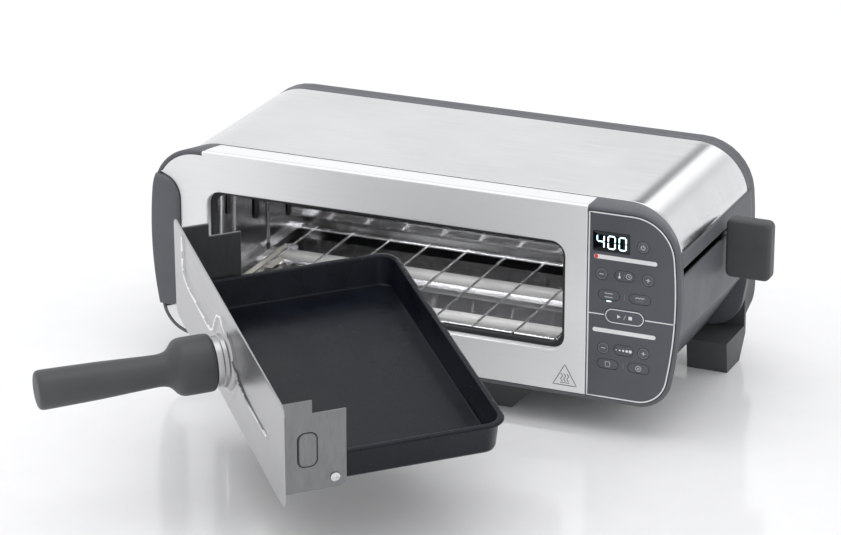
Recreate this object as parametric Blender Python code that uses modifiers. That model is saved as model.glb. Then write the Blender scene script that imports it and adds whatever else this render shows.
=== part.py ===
"""Compact flip-type toaster oven with a slide-in pan, drawn as separate pieces.

Body coordinates used while drawing: x = 0 at the middle of the body, y = 0 on the front face and
growing to the rear, z = 0 at the bottom edge of the body. place() then moves every piece so that
the origin is on the floor, under the middle of the front foot.
"""
import math

import bmesh
import bpy
from mathutils import Matrix, Vector

# ---------------------------------------------------------------- driving dimensions (metres)
BODY_HALF_W = 0.2368
BODY_H = 0.1674
BODY_DEPTH = 0.2065
SIDE_BULGE_R = 0.360
WIDEST_Z = 0.094
CORNER_TOP_R = 0.040
CORNER_BOTTOM_R = 0.030
SHELL_STEP = 0.0070
CORNER_GROWTH = 0.0060
FOOT_H = 0.028
FOOT_CENTRE_Y = 0.035
GAP = 0.0004

RING_T = 0.0035
RING_REAR_Y = 0.0220
WRAP_T = 0.0012
WRAP_SIDE_Z = 0.1290
HOUSING_T = 0.0030
SHELL_Y0 = 0.0224
SHELL_Y1 = 0.1985

PANEL_T = 0.0018
PANEL_SPLIT_X = 0.1565
LIP_X = (-0.2006, 0.1565)
LIP_DEPTH = 0.0205
LIP_T = 0.0014

WINDOW_X = (-0.1850, 0.1371)
WINDOW_Z = (0.0385, 0.1330)
WINDOW_R = 0.0130
GASKET_W = 0.0075

GRIP_EDGE_X = -0.2103
GRIP_Z = (0.0260, 0.1430)
GRIP_PROUD = 0.0065

CAVITY_X = (-0.1900, 0.1440)
CAVITY_Y = (0.0080, 0.1940)
CAVITY_Z = (0.0195, 0.1505)
SHEET_T = 0.0010

TUBE_R = 0.0050
TUBE_Y = (0.0560, 0.1390)
TUBE_Z = (0.0300, 0.1400)
GUARD_Z = (0.0410, 0.1290)
GUARD_WIRE_R = 0.0011
GUARD_PITCH = 0.0350

LEVER_Y = 0.1245
LEVER_Z = 0.1115
LEVER_TRAVEL = 0.0900
KNOB_X = (0.2330, 0.2720)
KNOB_Z = (0.0770, 0.1280)

PAN_POS = (-0.0511, -0.2331, 0.0472)
PAN_YAW = math.radians(-48.03)
PAN_ROLL = math.radians(8.62)
PAN_PITCH = math.radians(2.66)
PAN_SQUARE_POS = (-0.0240, -0.2988, 0.0411)
DOOR_L = 0.3100
DOOR_H = 0.0893
DOOR_T = 0.0014
HANDLE_W = 0.0432
TRAY_HALF_L = 0.1412
TRAY_D = (0.0035, 0.1805)
TRAY_Z = (0.0063, 0.0343)
TRAY_T = 0.0012
BRACKET_SCREW = (0.0415, 0.0150)

COLLECTION = "toaster_oven"
CUTTERS = "toaster_oven_cutters"

PALETTE = {
    "brushed_steel": ((0.72, 0.73, 0.74), 0.32, 1.0),
    "satin_steel": ((0.80, 0.81, 0.82), 0.38, 1.0),
    "inner_steel": ((0.58, 0.59, 0.61), 0.28, 1.0),
    "wire_steel": ((0.66, 0.66, 0.67), 0.25, 1.0),
    "grey_plastic": ((0.085, 0.090, 0.100), 0.55, 0.0),
    "panel_plastic": ((0.090, 0.094, 0.108), 0.40, 0.0),
    "dark_plastic": ((0.060, 0.063, 0.066), 0.50, 0.0),
    "black_rubber": ((0.020, 0.020, 0.022), 0.75, 0.0),
    "display_glass": ((0.004, 0.005, 0.006), 0.12, 0.0),
    "quartz": ((0.82, 0.80, 0.76), 0.20, 0.0),
    "ceramic": ((0.85, 0.83, 0.78), 0.60, 0.0),
    "board_green": ((0.020, 0.110, 0.050), 0.50, 0.0),
    "nonstick_black": ((0.012, 0.013, 0.016), 0.35, 0.0),
    "bracket_steel": ((0.45, 0.46, 0.47), 0.40, 1.0),
}


# ---------------------------------------------------------------- scene set-up and helpers
def clear_scene():
    for ob in list(bpy.data.objects):
        bpy.data.objects.remove(ob, do_unlink=True)
    for name in (COLLECTION, CUTTERS):
        col = bpy.data.collections.new(name)
        bpy.context.scene.collection.children.link(col)


def material(name):
    mat = bpy.data.materials.get(name)
    if mat:
        return mat
    colour, rough, metal = PALETTE[name]
    mat = bpy.data.materials.new(name)
    mat.use_nodes = True
    bsdf = mat.node_tree.nodes["Principled BSDF"]
    bsdf.inputs["Base Color"].default_value = (*colour, 1.0)
    bsdf.inputs["Roughness"].default_value = rough
    bsdf.inputs["Metallic"].default_value = metal
    mat.diffuse_color = (*colour, 1.0)
    return mat


def link_mesh(name, mesh, mat_name, collection=COLLECTION):
    ob = bpy.data.objects.new(name, mesh)
    bpy.data.collections[collection].objects.link(ob)
    if mat_name:
        mesh.materials.clear()
        mesh.materials.append(material(mat_name))
    return ob


def face_outwards(bm):
    bmesh.ops.recalc_face_normals(bm, faces=bm.faces)
    if bm.calc_volume(signed=True) < 0:
        bmesh.ops.reverse_faces(bm, faces=bm.faces)


def finish_bmesh(name, bm, mat_name, collection=COLLECTION):
    face_outwards(bm)
    mesh = bpy.data.meshes.new(name)
    bm.to_mesh(mesh)
    bm.free()
    return link_mesh(name, mesh, mat_name, collection)


def axis_matrix(axis):
    """Turns a prism drawn in local XY and running along +Z so that it runs along an axis."""
    if axis == "y":
        return Matrix(((1, 0, 0, 0), (0, 0, 1, 0), (0, 1, 0, 0), (0, 0, 0, 1)))
    if axis == "x":
        return Matrix(((0, 0, 1, 0), (1, 0, 0, 0), (0, 1, 0, 0), (0, 0, 0, 1)))
    return Matrix.Identity(4)


def plate(name, outer, holes, lo, hi, mat_name, axis="y", collection=COLLECTION):
    """A flat sheet or prism with holes: 2D curves filled and given a thickness, then a mesh.

    Points are (x, z) for axis y, (y, z) for axis x and (x, y) for axis z.
    """
    curve = bpy.data.curves.new(name, "CURVE")
    curve.dimensions = "2D"
    curve.fill_mode = "BOTH"
    curve.extrude = (hi - lo) / 2
    for loop in [outer] + list(holes):
        spline = curve.splines.new("POLY")
        spline.points.add(len(loop) - 1)
        for point, (a, b) in zip(spline.points, loop):
            point.co = (a, b, 0, 1)
        spline.use_cyclic_u = True
    bm = curve_to_bmesh(name, curve)
    bmesh.ops.translate(bm, verts=bm.verts, vec=(0, 0, (lo + hi) / 2))
    bm.transform(axis_matrix(axis))
    return finish_bmesh(name, bm, mat_name, collection)


def curve_to_bmesh(name, curve):
    temp = bpy.data.objects.new(name + "_curve", curve)
    bpy.data.collections[COLLECTION].objects.link(temp)
    graph = bpy.context.evaluated_depsgraph_get()
    mesh = bpy.data.meshes.new_from_object(temp.evaluated_get(graph))
    bpy.data.objects.remove(temp, do_unlink=True)
    bm = bmesh.new()
    bm.from_mesh(mesh)
    bpy.data.meshes.remove(mesh)
    bmesh.ops.remove_doubles(bm, verts=bm.verts, dist=0.00001)
    return bm


def prism(name, points, lo, hi, mat_name, axis="y", collection=COLLECTION):
    return plate(name, points, [], lo, hi, mat_name, axis, collection)


def box(name, lo, hi, mat_name, collection=COLLECTION):
    bm = bmesh.new()
    size = [h - l for l, h in zip(lo, hi)]
    middle = [(h + l) / 2 for l, h in zip(lo, hi)]
    bmesh.ops.create_cube(bm, size=1.0, matrix=Matrix.Translation(middle) @ Matrix.Diagonal((*size, 1)))
    return finish_bmesh(name, bm, mat_name, collection)


def rounded_rect(x0, x1, z0, z1, r, steps=5):
    pts = []
    corners = ((x1 - r, z1 - r, 0), (x0 + r, z1 - r, 90), (x0 + r, z0 + r, 180), (x1 - r, z0 + r, 270))
    for cx, cz, start in corners:
        for k in range(steps + 1):
            a = math.radians(start + 90 * k / steps)
            pts.append((cx + r * math.cos(a), cz + r * math.sin(a)))
    return pts


def circle(cx, cz, r, n=20):
    angles = [2 * math.pi * k / n for k in range(n)]
    return [(cx + r * math.cos(a), cz + r * math.sin(a)) for a in angles]


def wire(name, points, radius, mat_name, detail=1, collection=COLLECTION):
    """A round wire through straight runs, with filled ends."""
    curve = bpy.data.curves.new(name, "CURVE")
    curve.dimensions = "3D"
    curve.bevel_depth = radius
    curve.bevel_resolution = detail
    curve.use_fill_caps = True
    spline = curve.splines.new("POLY")
    spline.points.add(len(points) - 1)
    for point, co in zip(spline.points, points):
        point.co = (*co, 1)
    return finish_bmesh(name, curve_to_bmesh(name, curve), mat_name, collection)


def turned(name, profile, mat_name, centre, axis="y", steps=28, collection=COLLECTION):
    """A turned solid: the profile holds (distance along the axis, radius)."""
    bm = bmesh.new()
    verts = [bm.verts.new((r, 0, along)) for along, r in profile]
    for va, vb in zip(verts, verts[1:]):
        bm.edges.new((va, vb))
    if profile[0][1] > 0:
        bm.edges.new((verts[-1], verts[0]))
    ob = finish_bmesh(name, bm, mat_name, collection)
    mod = ob.modifiers.new("turn", "SCREW")
    mod.steps = steps
    mod.render_steps = steps
    mod.use_merge_vertices = True
    mod.merge_threshold = 0.00002
    apply_modifier(ob, mod)
    bm = bmesh.new()
    bm.from_mesh(ob.data)
    bmesh.ops.remove_doubles(bm, verts=bm.verts, dist=0.00001)
    bm.transform(axis_matrix(axis))
    bmesh.ops.translate(bm, verts=bm.verts, vec=centre)
    face_outwards(bm)
    bm.to_mesh(ob.data)
    bm.free()
    return ob


def apply_modifier(ob, modifier):
    bpy.context.view_layer.update()
    graph = bpy.context.evaluated_depsgraph_get()
    mesh = bpy.data.meshes.new_from_object(ob.evaluated_get(graph))
    ob.modifiers.remove(modifier)
    ob.data = mesh
    return ob


def cut(ob, cutters):
    for cutter in cutters:
        cutter.hide_render = True
        cutter.display_type = "WIRE"
        mod = ob.modifiers.new("cut", "BOOLEAN")
        mod.operation = "DIFFERENCE"
        mod.solver = "EXACT"
        mod.object = cutter
        apply_modifier(ob, mod)
        bpy.data.objects.remove(cutter, do_unlink=True)
    return ob


def weld(ob, others):
    for other in others:
        mod = ob.modifiers.new("weld", "BOOLEAN")
        mod.operation = "UNION"
        mod.solver = "EXACT"
        mod.object = other
        apply_modifier(ob, mod)
        bpy.data.objects.remove(other, do_unlink=True)
    return ob


def bevel(ob, width, segments=2, angle=40):
    mod = ob.modifiers.new("edge", "BEVEL")
    mod.width = width
    mod.segments = segments
    mod.limit_method = "ANGLE"
    mod.angle_limit = math.radians(angle)
    mod.use_clamp_overlap = True
    return apply_modifier(ob, mod)


# ---------------------------------------------------------------- body outline
def corner_centre_x(side_x, r, z):
    reach = SIDE_BULGE_R - r
    return side_x + math.sqrt(reach * reach - (z - WIDEST_Z) ** 2)


def right_half(inset, step=0.0, corner_steps=8, side_steps=6):
    """Points of the right half of the outline, from the top middle down to the bottom middle.

    The outline is widest at the front (step 0). Behind the front ring (step 1) it is narrower and rounder.
    """
    top_r = CORNER_TOP_R + CORNER_GROWTH * step
    top_z = BODY_H - top_r
    side_x = BODY_HALF_W - SHELL_STEP * step - SIDE_BULGE_R
    tx = corner_centre_x(side_x, top_r, top_z)
    bx = corner_centre_x(side_x, CORNER_BOTTOM_R, CORNER_BOTTOM_R)
    top_angle = math.atan2(top_z - WIDEST_Z, tx - side_x)
    bottom_angle = math.atan2(CORNER_BOTTOM_R - WIDEST_Z, bx - side_x)
    pts = []
    for k in range(corner_steps + 1):
        a = math.pi / 2 + (top_angle - math.pi / 2) * k / corner_steps
        r = top_r - inset
        pts.append((tx + r * math.cos(a), top_z + r * math.sin(a)))
    for k in range(1, side_steps):
        a = top_angle + (bottom_angle - top_angle) * k / side_steps
        r = SIDE_BULGE_R - inset
        pts.append((side_x + r * math.cos(a), WIDEST_Z + r * math.sin(a)))
    for k in range(corner_steps + 1):
        a = bottom_angle + (-math.pi / 2 - bottom_angle) * k / corner_steps
        r = CORNER_BOTTOM_R - inset
        pts.append((bx + r * math.cos(a), CORNER_BOTTOM_R + r * math.sin(a)))
    return pts


def outline(inset, step=0.0):
    half = right_half(inset, step)
    return half + [(-x, z) for x, z in reversed(half)]


def split_at(points, z):
    """Adds the point where a path crosses a height, and returns the part above and the part below."""
    for i in range(len(points) - 1):
        (xa, za), (xb, zb) = points[i], points[i + 1]
        if za >= z > zb:
            t = (za - z) / (za - zb)
            mid = (xa + (xb - xa) * t, z)
            return points[:i + 1] + [mid], [mid] + points[i + 1:]
    return points, []


def side_x_at(z, inset=0.0):
    upper, _ = split_at(right_half(inset), z)
    return upper[-1][0]


# ---------------------------------------------------------------- outer skin
def make_wrap():
    upper_out, _ = split_at(right_half(0.0, 1.0), WRAP_SIDE_Z)
    upper_in, _ = split_at(right_half(WRAP_T, 1.0), WRAP_SIDE_Z)
    outer = [(-x, z) for x, z in reversed(upper_out)] + upper_out
    inner = [(-x, z) for x, z in reversed(upper_in)] + upper_in
    return prism("outer_wrap", outer + inner[::-1], SHELL_Y0, SHELL_Y1, "brushed_steel")


def make_lower_housing():
    _, lower_out = split_at(right_half(0.0, 1.0), WRAP_SIDE_Z - GAP)
    _, lower_in = split_at(right_half(HOUSING_T, 1.0), WRAP_SIDE_Z - GAP)
    outer = lower_out + [(-x, z) for x, z in reversed(lower_out)]
    inner = lower_in + [(-x, z) for x, z in reversed(lower_in)]
    ob = prism("lower_housing", outer + inner[::-1], SHELL_Y0, SHELL_Y1, "grey_plastic")
    slot = box("slot", (0.225, LEVER_Y - LEVER_TRAVEL - 0.010, LEVER_Z - 0.0035),
               (0.245, LEVER_Y + 0.010, LEVER_Z + 0.0035), None, CUTTERS)
    return cut(ob, [slot])


def grip_outline(grow):
    """The D-shaped insert: the body's left edge, closed on the right with rounded ends."""
    x1 = GRIP_EDGE_X + grow
    z0, z1 = GRIP_Z[0] - grow, GRIP_Z[1] + grow
    side = [(-x, z) for x, z in right_half(0.0) if z0 + 0.004 < z < z1 - 0.004]
    left = [(-side_x_at(z1 - 0.002) - grow, z1 - 0.002)] + [(x - grow, z) for x, z in side]
    left += [(-side_x_at(z0 + 0.002) - grow, z0 + 0.002)]
    right = []
    for k in range(7):
        a = math.radians(-90 + 90 * k / 6)
        right.append((x1 - 0.012 + 0.012 * math.cos(a), z0 + 0.008 + 0.008 * math.sin(a)))
    for k in range(7):
        a = math.radians(90 * k / 6)
        right.append((x1 - 0.016 + 0.016 * math.cos(a), z1 - 0.022 + 0.022 * math.sin(a)))
    return left + right


def lip_top(x):
    """Height of the turned-back top edge: the body's top, following the rounder corner behind the ring."""
    half = right_half(0.0, 1.0)
    for (xa, za), (xb, zb) in zip(half, half[1:]):
        if xa <= abs(x) <= xb:
            return za + (zb - za) * (abs(x) - xa) / (xb - xa)
    return BODY_H


def lip_section(x0, x1, under, over):
    """Section of the lip between two ends, from under its surface to over it."""
    xs = [x0, x0 + 0.004, x0 + 0.008, x0 + 0.012, x0 + 0.016, x0 + 0.022, x1]
    return [(x, lip_top(x) - under) for x in xs] + [(x, lip_top(x) + over) for x in reversed(xs)]


def make_front_bezel():
    """The front ring: full size at its face, drawn in to the narrower shell at its rear edge."""
    bm = bmesh.new()
    sections = ((0.0, 0.0, -PANEL_T), (0.0, 0.0, GAP), (0.0, 1.0, RING_REAR_Y),
                (RING_T, 1.0, RING_REAR_Y), (RING_T, 0.0, GAP), (RING_T, 0.0, -PANEL_T))
    loops = [[(x, y, z) for x, z in outline(inset, step)] for inset, step, y in sections]
    rings = [[bm.verts.new(pt) for pt in loop] for loop in loops]
    n = len(rings[0])
    for ra, rb in zip(rings, rings[1:] + rings[:1]):
        for k in range(n):
            m = (k + 1) % n
            bm.faces.new((ra[k], ra[m], rb[m], rb[k]))
    ob = finish_bmesh("front_bezel", bm, "grey_plastic")
    lip_room = prism("lip_room", lip_section(LIP_X[0] - GAP, LIP_X[1] + GAP, LIP_T + GAP, 0.02), -0.01, 0.03,
                     None, "y", CUTTERS)
    turn_room = box("turn_room", (LIP_X[0] - GAP, -0.01, BODY_H - 0.010),
                    (LIP_X[1] + GAP, GAP, BODY_H + 0.01), None, CUTTERS)
    grip_room = prism("grip_room", grip_outline(GAP), -0.010, 0.0004, None, "y", CUTTERS)
    return cut(ob, [lip_room, turn_room, grip_room])


def make_front_panel():
    edge = RING_T + GAP
    half = right_half(edge)
    left = [(-x, z) for x, z in reversed(half)]
    outer = [(PANEL_SPLIT_X - GAP, BODY_H - edge)] + left[::-1] + [(PANEL_SPLIT_X - GAP, edge)]
    window = rounded_rect(*WINDOW_X, *WINDOW_Z, WINDOW_R, 6)
    ob = plate("front_panel", outer, [window], -PANEL_T, 0.0, "satin_steel")
    lip = prism("lip", lip_section(LIP_X[0], LIP_X[1] - GAP, LIP_T, 0.0), -PANEL_T, LIP_DEPTH, None,
                "y", CUTTERS)
    turn = prism("turn", lip_section(LIP_X[0], LIP_X[1] - GAP, edge + 0.001, -0.0004), -PANEL_T, 0.0, None,
                 "y", CUTTERS)
    weld(ob, [turn, lip])
    grip_room = prism("grip_room", grip_outline(GAP), -0.010, 0.010, None, "y", CUTTERS)
    return cut(ob, [grip_room])


def make_left_grip():
    ob = prism("left_grip", grip_outline(0.0), -GRIP_PROUD, 0.0, "grey_plastic")
    return bevel(ob, 0.0022, 3, 50)


def make_window_gasket():
    outer = rounded_rect(WINDOW_X[0] - 0.004, WINDOW_X[1] + 0.0035, WINDOW_Z[0] - 0.004, WINDOW_Z[1] + 0.004,
                         WINDOW_R + 0.003, 6)
    inner = rounded_rect(WINDOW_X[0] + GASKET_W, WINDOW_X[1] - GASKET_W, WINDOW_Z[0] + GASKET_W,
                         WINDOW_Z[1] - GASKET_W, WINDOW_R - 0.003, 6)
    return plate("window_gasket", outer, [inner], GAP, CAVITY_Y[0] - GAP, "black_rubber")


def make_rear_cover():
    ob = prism("rear_cover", outline(0.0, 1.0), SHELL_Y1 + GAP, BODY_DEPTH, "grey_plastic")
    bevel(ob, 0.0012, 2, 60)
    vents = []
    for i in range(11):
        x = -0.150 + 0.030 * i
        for z0, z1 in ((0.060, 0.078), (0.090, 0.108)):
            pts = rounded_rect(x - 0.0022, x + 0.0022, z0, z1, 0.0020, 1)
            vents.append(prism("vent", pts, SHELL_Y1 - 0.01, BODY_DEPTH + 0.01, None, "y", CUTTERS))
    gland_hole = prism("gland_hole", circle(0.160, 0.0400, 0.0088, 20), SHELL_Y1 - 0.01, BODY_DEPTH + 0.01,
                       None, "y", CUTTERS)
    return cut(ob, vents + [gland_hole])


def make_cord_gland():
    """A stepped bush with a bore for the mains cord."""
    profile = ((-0.0030, 0.0036), (-0.0030, 0.0105), (-0.0004, 0.0105), (-0.0004, 0.0084), (0.0086, 0.0084),
               (0.0086, 0.0105), (0.0120, 0.0100), (0.0220, 0.0065), (0.0220, 0.0036))
    turned("cord_gland", profile, "black_rubber", (0.160, SHELL_Y1 + 0.0001, 0.0400), "y", 20)


# ---------------------------------------------------------------- feet
def make_rear_feet():
    """Floor pad, sloping back and the rounded pad the oven stands on when it is tipped up."""
    pts = [(0.1600, -GAP), (0.1640, -FOOT_H), (0.1960, -FOOT_H), (0.2110, -0.0080), (0.2110, 0.0100)]
    for k in range(9):
        a = math.radians(-55 + 125 * k / 8)
        pts.append((0.2190 + 0.0150 * math.cos(a), 0.0300 + 0.0165 * math.sin(a)))
    pts += [(0.2110, 0.0560), (BODY_DEPTH + GAP, 0.0560), (BODY_DEPTH + GAP, -GAP)]
    ob = prism("rear_foot_right", pts, 0.1870, 0.2230, "dark_plastic", "x")
    relief = prism("relief", outline(-GAP, 1.0), SHELL_Y0 - 0.01, BODY_DEPTH + GAP, None, "y", CUTTERS)
    cut(ob, [relief])
    bevel(ob, 0.0015, 2, 35)
    mesh = ob.data.copy()
    mesh.transform(Matrix.Diagonal((-1, 1, 1, 1)))
    mesh.flip_normals()
    link_mesh("rear_foot_left", mesh, "dark_plastic")


def make_front_foot():
    pts = [(-0.0830, -FOOT_H), (0.0830, -FOOT_H), (0.1100, -GAP), (-0.1100, -GAP)]
    ob = prism("front_foot", pts, 0.0200, 0.0500, "dark_plastic")
    return bevel(ob, 0.0012, 2, 30)


# ---------------------------------------------------------------- control panel
def pill(cx, cz, w, h, steps=6):
    return rounded_rect(cx - w / 2, cx + w / 2, cz - h / 2, cz + h / 2, h / 2, steps)


BUTTONS = {
    "button_power": (0.2038, 0.1383, 0.0095, 0.0095),
    "button_oven_minus": (0.1690, 0.1110, 0.0095, 0.0095),
    "button_temp_time": (0.1885, 0.1115, 0.0165, 0.0085),
    "button_oven_plus": (0.2087, 0.1109, 0.0095, 0.0095),
    "button_bake": (0.1755, 0.0935, 0.0180, 0.0080),
    "button_broil": (0.2020, 0.0935, 0.0180, 0.0080),
    "button_start_stop": (0.1893, 0.0763, 0.0335, 0.0125),
    "button_toast_minus": (0.1715, 0.0475, 0.0095, 0.0095),
    "button_shade": (0.1888, 0.0475, 0.0165, 0.0085),
    "button_toast_plus": (0.2060, 0.0475, 0.0095, 0.0095),
    "button_toast": (0.1755, 0.0340, 0.0180, 0.0080),
    "button_bagel": (0.2020, 0.0340, 0.0180, 0.0080),
}
DISPLAY = (0.1768, 0.1388, 0.0310, 0.0165)


def make_control_panel():
    edge = RING_T + GAP
    half = [(x, z) for x, z in right_half(edge) if x > PANEL_SPLIT_X]
    outer = [(PANEL_SPLIT_X, BODY_H - edge)] + half + [(PANEL_SPLIT_X, edge)]
    holes = [pill(cx, cz, w + 2 * GAP, h + 2 * GAP) for cx, cz, w, h in BUTTONS.values()]
    cx, cz, w, h = DISPLAY
    w, h = w / 2 + GAP, h / 2 + GAP
    holes.append(rounded_rect(cx - w, cx + w, cz - h, cz + h, 0.0012, 3))
    return plate("control_panel", outer, holes, -PANEL_T, 0.0, "panel_plastic")


def make_buttons():
    for name, (cx, cz, w, h) in BUTTONS.items():
        ob = prism(name, pill(cx, cz, w, h), -PANEL_T - 0.0003, 0.0012, "panel_plastic")
        set_origin(ob, (cx, 0.0, cz))
    cx, cz, w, h = DISPLAY
    lens = rounded_rect(cx - w / 2, cx + w / 2, cz - h / 2, cz + h / 2, 0.0009, 3)
    prism("display_lens", lens, -PANEL_T, 0.0016, "display_glass")


def make_control_board():
    ob = box("control_board", (0.1580, 0.0032, 0.0200), (0.2160, 0.0048, 0.1450), "board_green")
    return ob


# ---------------------------------------------------------------- inside
def make_cavity_liner():
    """A sheet-steel box open at the front, with a slot in the right wall for the toast carriage."""
    x0, x1 = CAVITY_X
    y0, y1 = CAVITY_Y
    z0, z1 = CAVITY_Z
    ob = box("cavity_liner", (x0, y0, z0), (x1, y1, z1), "inner_steel")
    inside = (x0 + SHEET_T, y0 - 0.01, z0 + SHEET_T)
    hollow = box("hollow", inside, (x1 - SHEET_T, y1 - SHEET_T, z1 - SHEET_T), None, CUTTERS)
    slot = box("slot", (x1 - 0.01, 0.0880, 0.0760), (x1 + 0.01, 0.1895, 0.0980), None, CUTTERS)
    return cut(ob, [hollow, slot])


def make_bulkhead():
    ob = box("bulkhead", (0.1475, 0.0075, 0.0080), (0.1487, 0.1940, 0.1600), "inner_steel")
    slot = box("slot", (0.1375, 0.0880, 0.0760), (0.1575, 0.1895, 0.0980), None, CUTTERS)
    return cut(ob, [slot])


def make_reflector(name, flip):
    """A bent sheet with one trough for each heating tube and a ridge between them."""
    inner = CAVITY_Z[0] + SHEET_T
    z_mid = (CAVITY_Z[0] + CAVITY_Z[1]) / 2
    top = [(0.0160, inner + 0.0120), (0.0300, inner + 0.0014),
           (0.0800, inner + 0.0014), (0.0975, inner + 0.0110),
           (0.1150, inner + 0.0014), (0.1650, inner + 0.0014), (0.1780, inner + 0.0120)]
    low = [(y, z - 0.0009) for y, z in top]
    pts = top + low[::-1]
    if flip:
        pts = [(y, 2 * z_mid - z) for y, z in pts]
    return prism(name, pts, CAVITY_X[0] + 0.0074, CAVITY_X[1] - 0.0074, "inner_steel", "x")


def make_heaters():
    for level, z in zip(("lower", "upper"), TUBE_Z):
        for spot, y in zip(("front", "rear"), TUBE_Y):
            name = "heater_tube_%s_%s" % (level, spot)
            profile = ((-0.1826, 0), (-0.1826, TUBE_R), (0.1366, TUBE_R), (0.1366, 0))
            turned(name, profile, "quartz", (0, y, z), "x", 16)
        for side, x0, x1 in (("left", -0.1886, -0.1830), ("right", 0.1370, 0.1426)):
            bar = rounded_rect(TUBE_Y[0] - 0.0090, TUBE_Y[1] + 0.0090, z - 0.0065, z + 0.0065, 0.0060, 4)
            prism("tube_holder_%s_%s" % (level, side), bar, x0, x1, "ceramic", "x")


def make_guard(name, z):
    """Round wires running front to back, held by a rail at each end."""
    x0, x1 = CAVITY_X[0] + 0.0080, CAVITY_X[1] - 0.0080
    base = wire(name, [(x0, 0.0140, z), (x1, 0.0140, z)], 0.0016, "wire_steel")
    others = [wire("rail", [(x0, 0.1800, z), (x1, 0.1800, z)], 0.0016, None, 1, CUTTERS)]
    n = int((x1 - x0 - 0.02) / GUARD_PITCH)
    for i in range(n + 1):
        x = x0 + 0.012 + i * (x1 - x0 - 0.024) / n
        ends = [(x, 0.0122, z + 0.0008), (x, 0.1818, z + 0.0008)]
        others.append(wire("wire", ends, GUARD_WIRE_R, None, 0, CUTTERS))
    return weld(base, others)


def make_guard_brackets():
    """Steel strips on the end walls that the guard rails end against."""
    for level, z in zip(("lower", "upper"), GUARD_Z):
        for side, x0, x1 in (("left", CAVITY_X[0] + 0.0014, CAVITY_X[0] + 0.0076),
                             ("right", CAVITY_X[1] - 0.0076, CAVITY_X[1] - 0.0014)):
            name = "guard_bracket_%s_%s" % (level, side)
            box(name, (x0, 0.0105, z - 0.0028), (x1, 0.1835, z + 0.0028), "inner_steel")


def make_temperature_probe():
    """A thin sheath with a collar, in the left wall."""
    profile = ((-0.1886, 0), (-0.1886, 0.0045), (-0.1866, 0.0045), (-0.1866, 0.0022), (-0.1550, 0.0022),
               (-0.1550, 0))
    return turned("temperature_probe", profile, "wire_steel", (0, 0.0980, 0.1120), "x", 12)


# ---------------------------------------------------------------- toast lever
def make_carriage():
    """The strip that carries the bread, its side plate in the control bay and the arm to the knob."""
    strip = box("toast_carriage", (-0.1600, 0.1838, 0.0790), (0.1538, 0.1853, 0.0950), "inner_steel")
    side = box("side", (0.1520, 0.1180, 0.0790), (0.1538, 0.1853, LEVER_Z + 0.0020), None, CUTTERS)
    arm = box("arm", (0.1520, 0.1195, LEVER_Z - 0.0020), (0.2500, 0.1295, LEVER_Z + 0.0020), None, CUTTERS)
    ob = weld(strip, [side, arm])
    return set_origin(ob, (0.2400, LEVER_Y, LEVER_Z))


def make_lever_knob():
    pts = rounded_rect(*KNOB_X, *KNOB_Z, 0.0055, 4)
    ob = prism("lever_knob", pts, LEVER_Y - 0.0070, LEVER_Y + 0.0070, "dark_plastic")
    bevel(ob, 0.0028, 3, 50)
    pocket = box("pocket", (0.2250, LEVER_Y - 0.0054, LEVER_Z - 0.0024),
                 (0.2504, LEVER_Y + 0.0054, LEVER_Z + 0.0024), None, CUTTERS)
    cut(ob, [pocket])
    return set_origin(ob, (0.2400, LEVER_Y, LEVER_Z))


# ---------------------------------------------------------------- pan, in its own coordinates
def make_door_panel():
    """A flat steel door with chipped lower corners, drawn at its own origin."""
    half = DOOR_L / 2
    c = 0.004
    outer = [(-half, c), (-half + c, 0.0), (half - c, 0.0), (half, c), (half, DOOR_H - c),
             (half - c, DOOR_H), (-half + c, DOOR_H), (-half, DOOR_H - c)]
    return plate("door_panel", outer, [circle(0.0, HANDLE_W, 0.0034, 16)], -DOOR_T, 0.0, "satin_steel")


def make_tray():
    """A shallow pan with sloping walls, rounded corners and an out-turned rim."""
    x1 = TRAY_HALF_L
    y0, y1 = TRAY_D
    z0, z1 = TRAY_Z
    rim_w, rim_h, slope = 0.0050, 0.0022, 0.0030

    def loop(inset, z, r):
        return [(x, y, z) for x, y in rounded_rect(-x1 + inset, x1 - inset, y0 + inset, y1 - inset, r, 6)]

    body = rim_w - TRAY_T
    loops = [loop(body + slope, z0, 0.010), loop(body, z1 - rim_h, 0.013), loop(0.0, z1 - rim_h, 0.016),
             loop(0.0, z1, 0.016), loop(body + TRAY_T, z1, 0.012),
             loop(body + TRAY_T + slope, z0 + TRAY_T, 0.009)]
    bm = bmesh.new()
    rings = [[bm.verts.new(p) for p in pts] for pts in loops]
    n = len(rings[0])
    for ra, rb in zip(rings, rings[1:]):
        for k in range(n):
            m = (k + 1) % n
            bm.faces.new((ra[k], ra[m], rb[m], rb[k]))
    bm.faces.new(rings[0])
    bm.faces.new(rings[-1])
    return finish_bmesh("pan_tray", bm, "nonstick_black")


def make_bracket(name, sign):
    """A side plate behind the door, with a stepped top, a pressed D loop and a foot to the door."""
    x_in = TRAY_HALF_L + 0.0006
    corner = [(0.0426 + 0.0080 * math.sin(a), 0.0137 - 0.0080 * math.cos(a))
              for a in [math.radians(18 * k) for k in range(6)]]
    top = [(0.0506, 0.0731), (0.0242, 0.0731), (0.0242, 0.0846), (0.0006, 0.0846)]
    pts = [(0.0006, 0.0057)] + corner + top
    ob = plate(name, pts, [circle(*BRACKET_SCREW, 0.0022, 10)], x_in, x_in + 0.0012, "bracket_steel", "x")
    rib = rounded_rect(0.0131, 0.0273, 0.0280, 0.0565, 0.0055, 4)
    boss = prism("boss", rib, x_in + 0.0010, x_in + 0.0026, None, "x", CUTTERS)
    weld(ob, [boss])
    if sign < 0:
        ob.data.transform(Matrix.Diagonal((-1, 1, 1, 1)))
        ob.data.flip_normals()
    return ob


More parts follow.
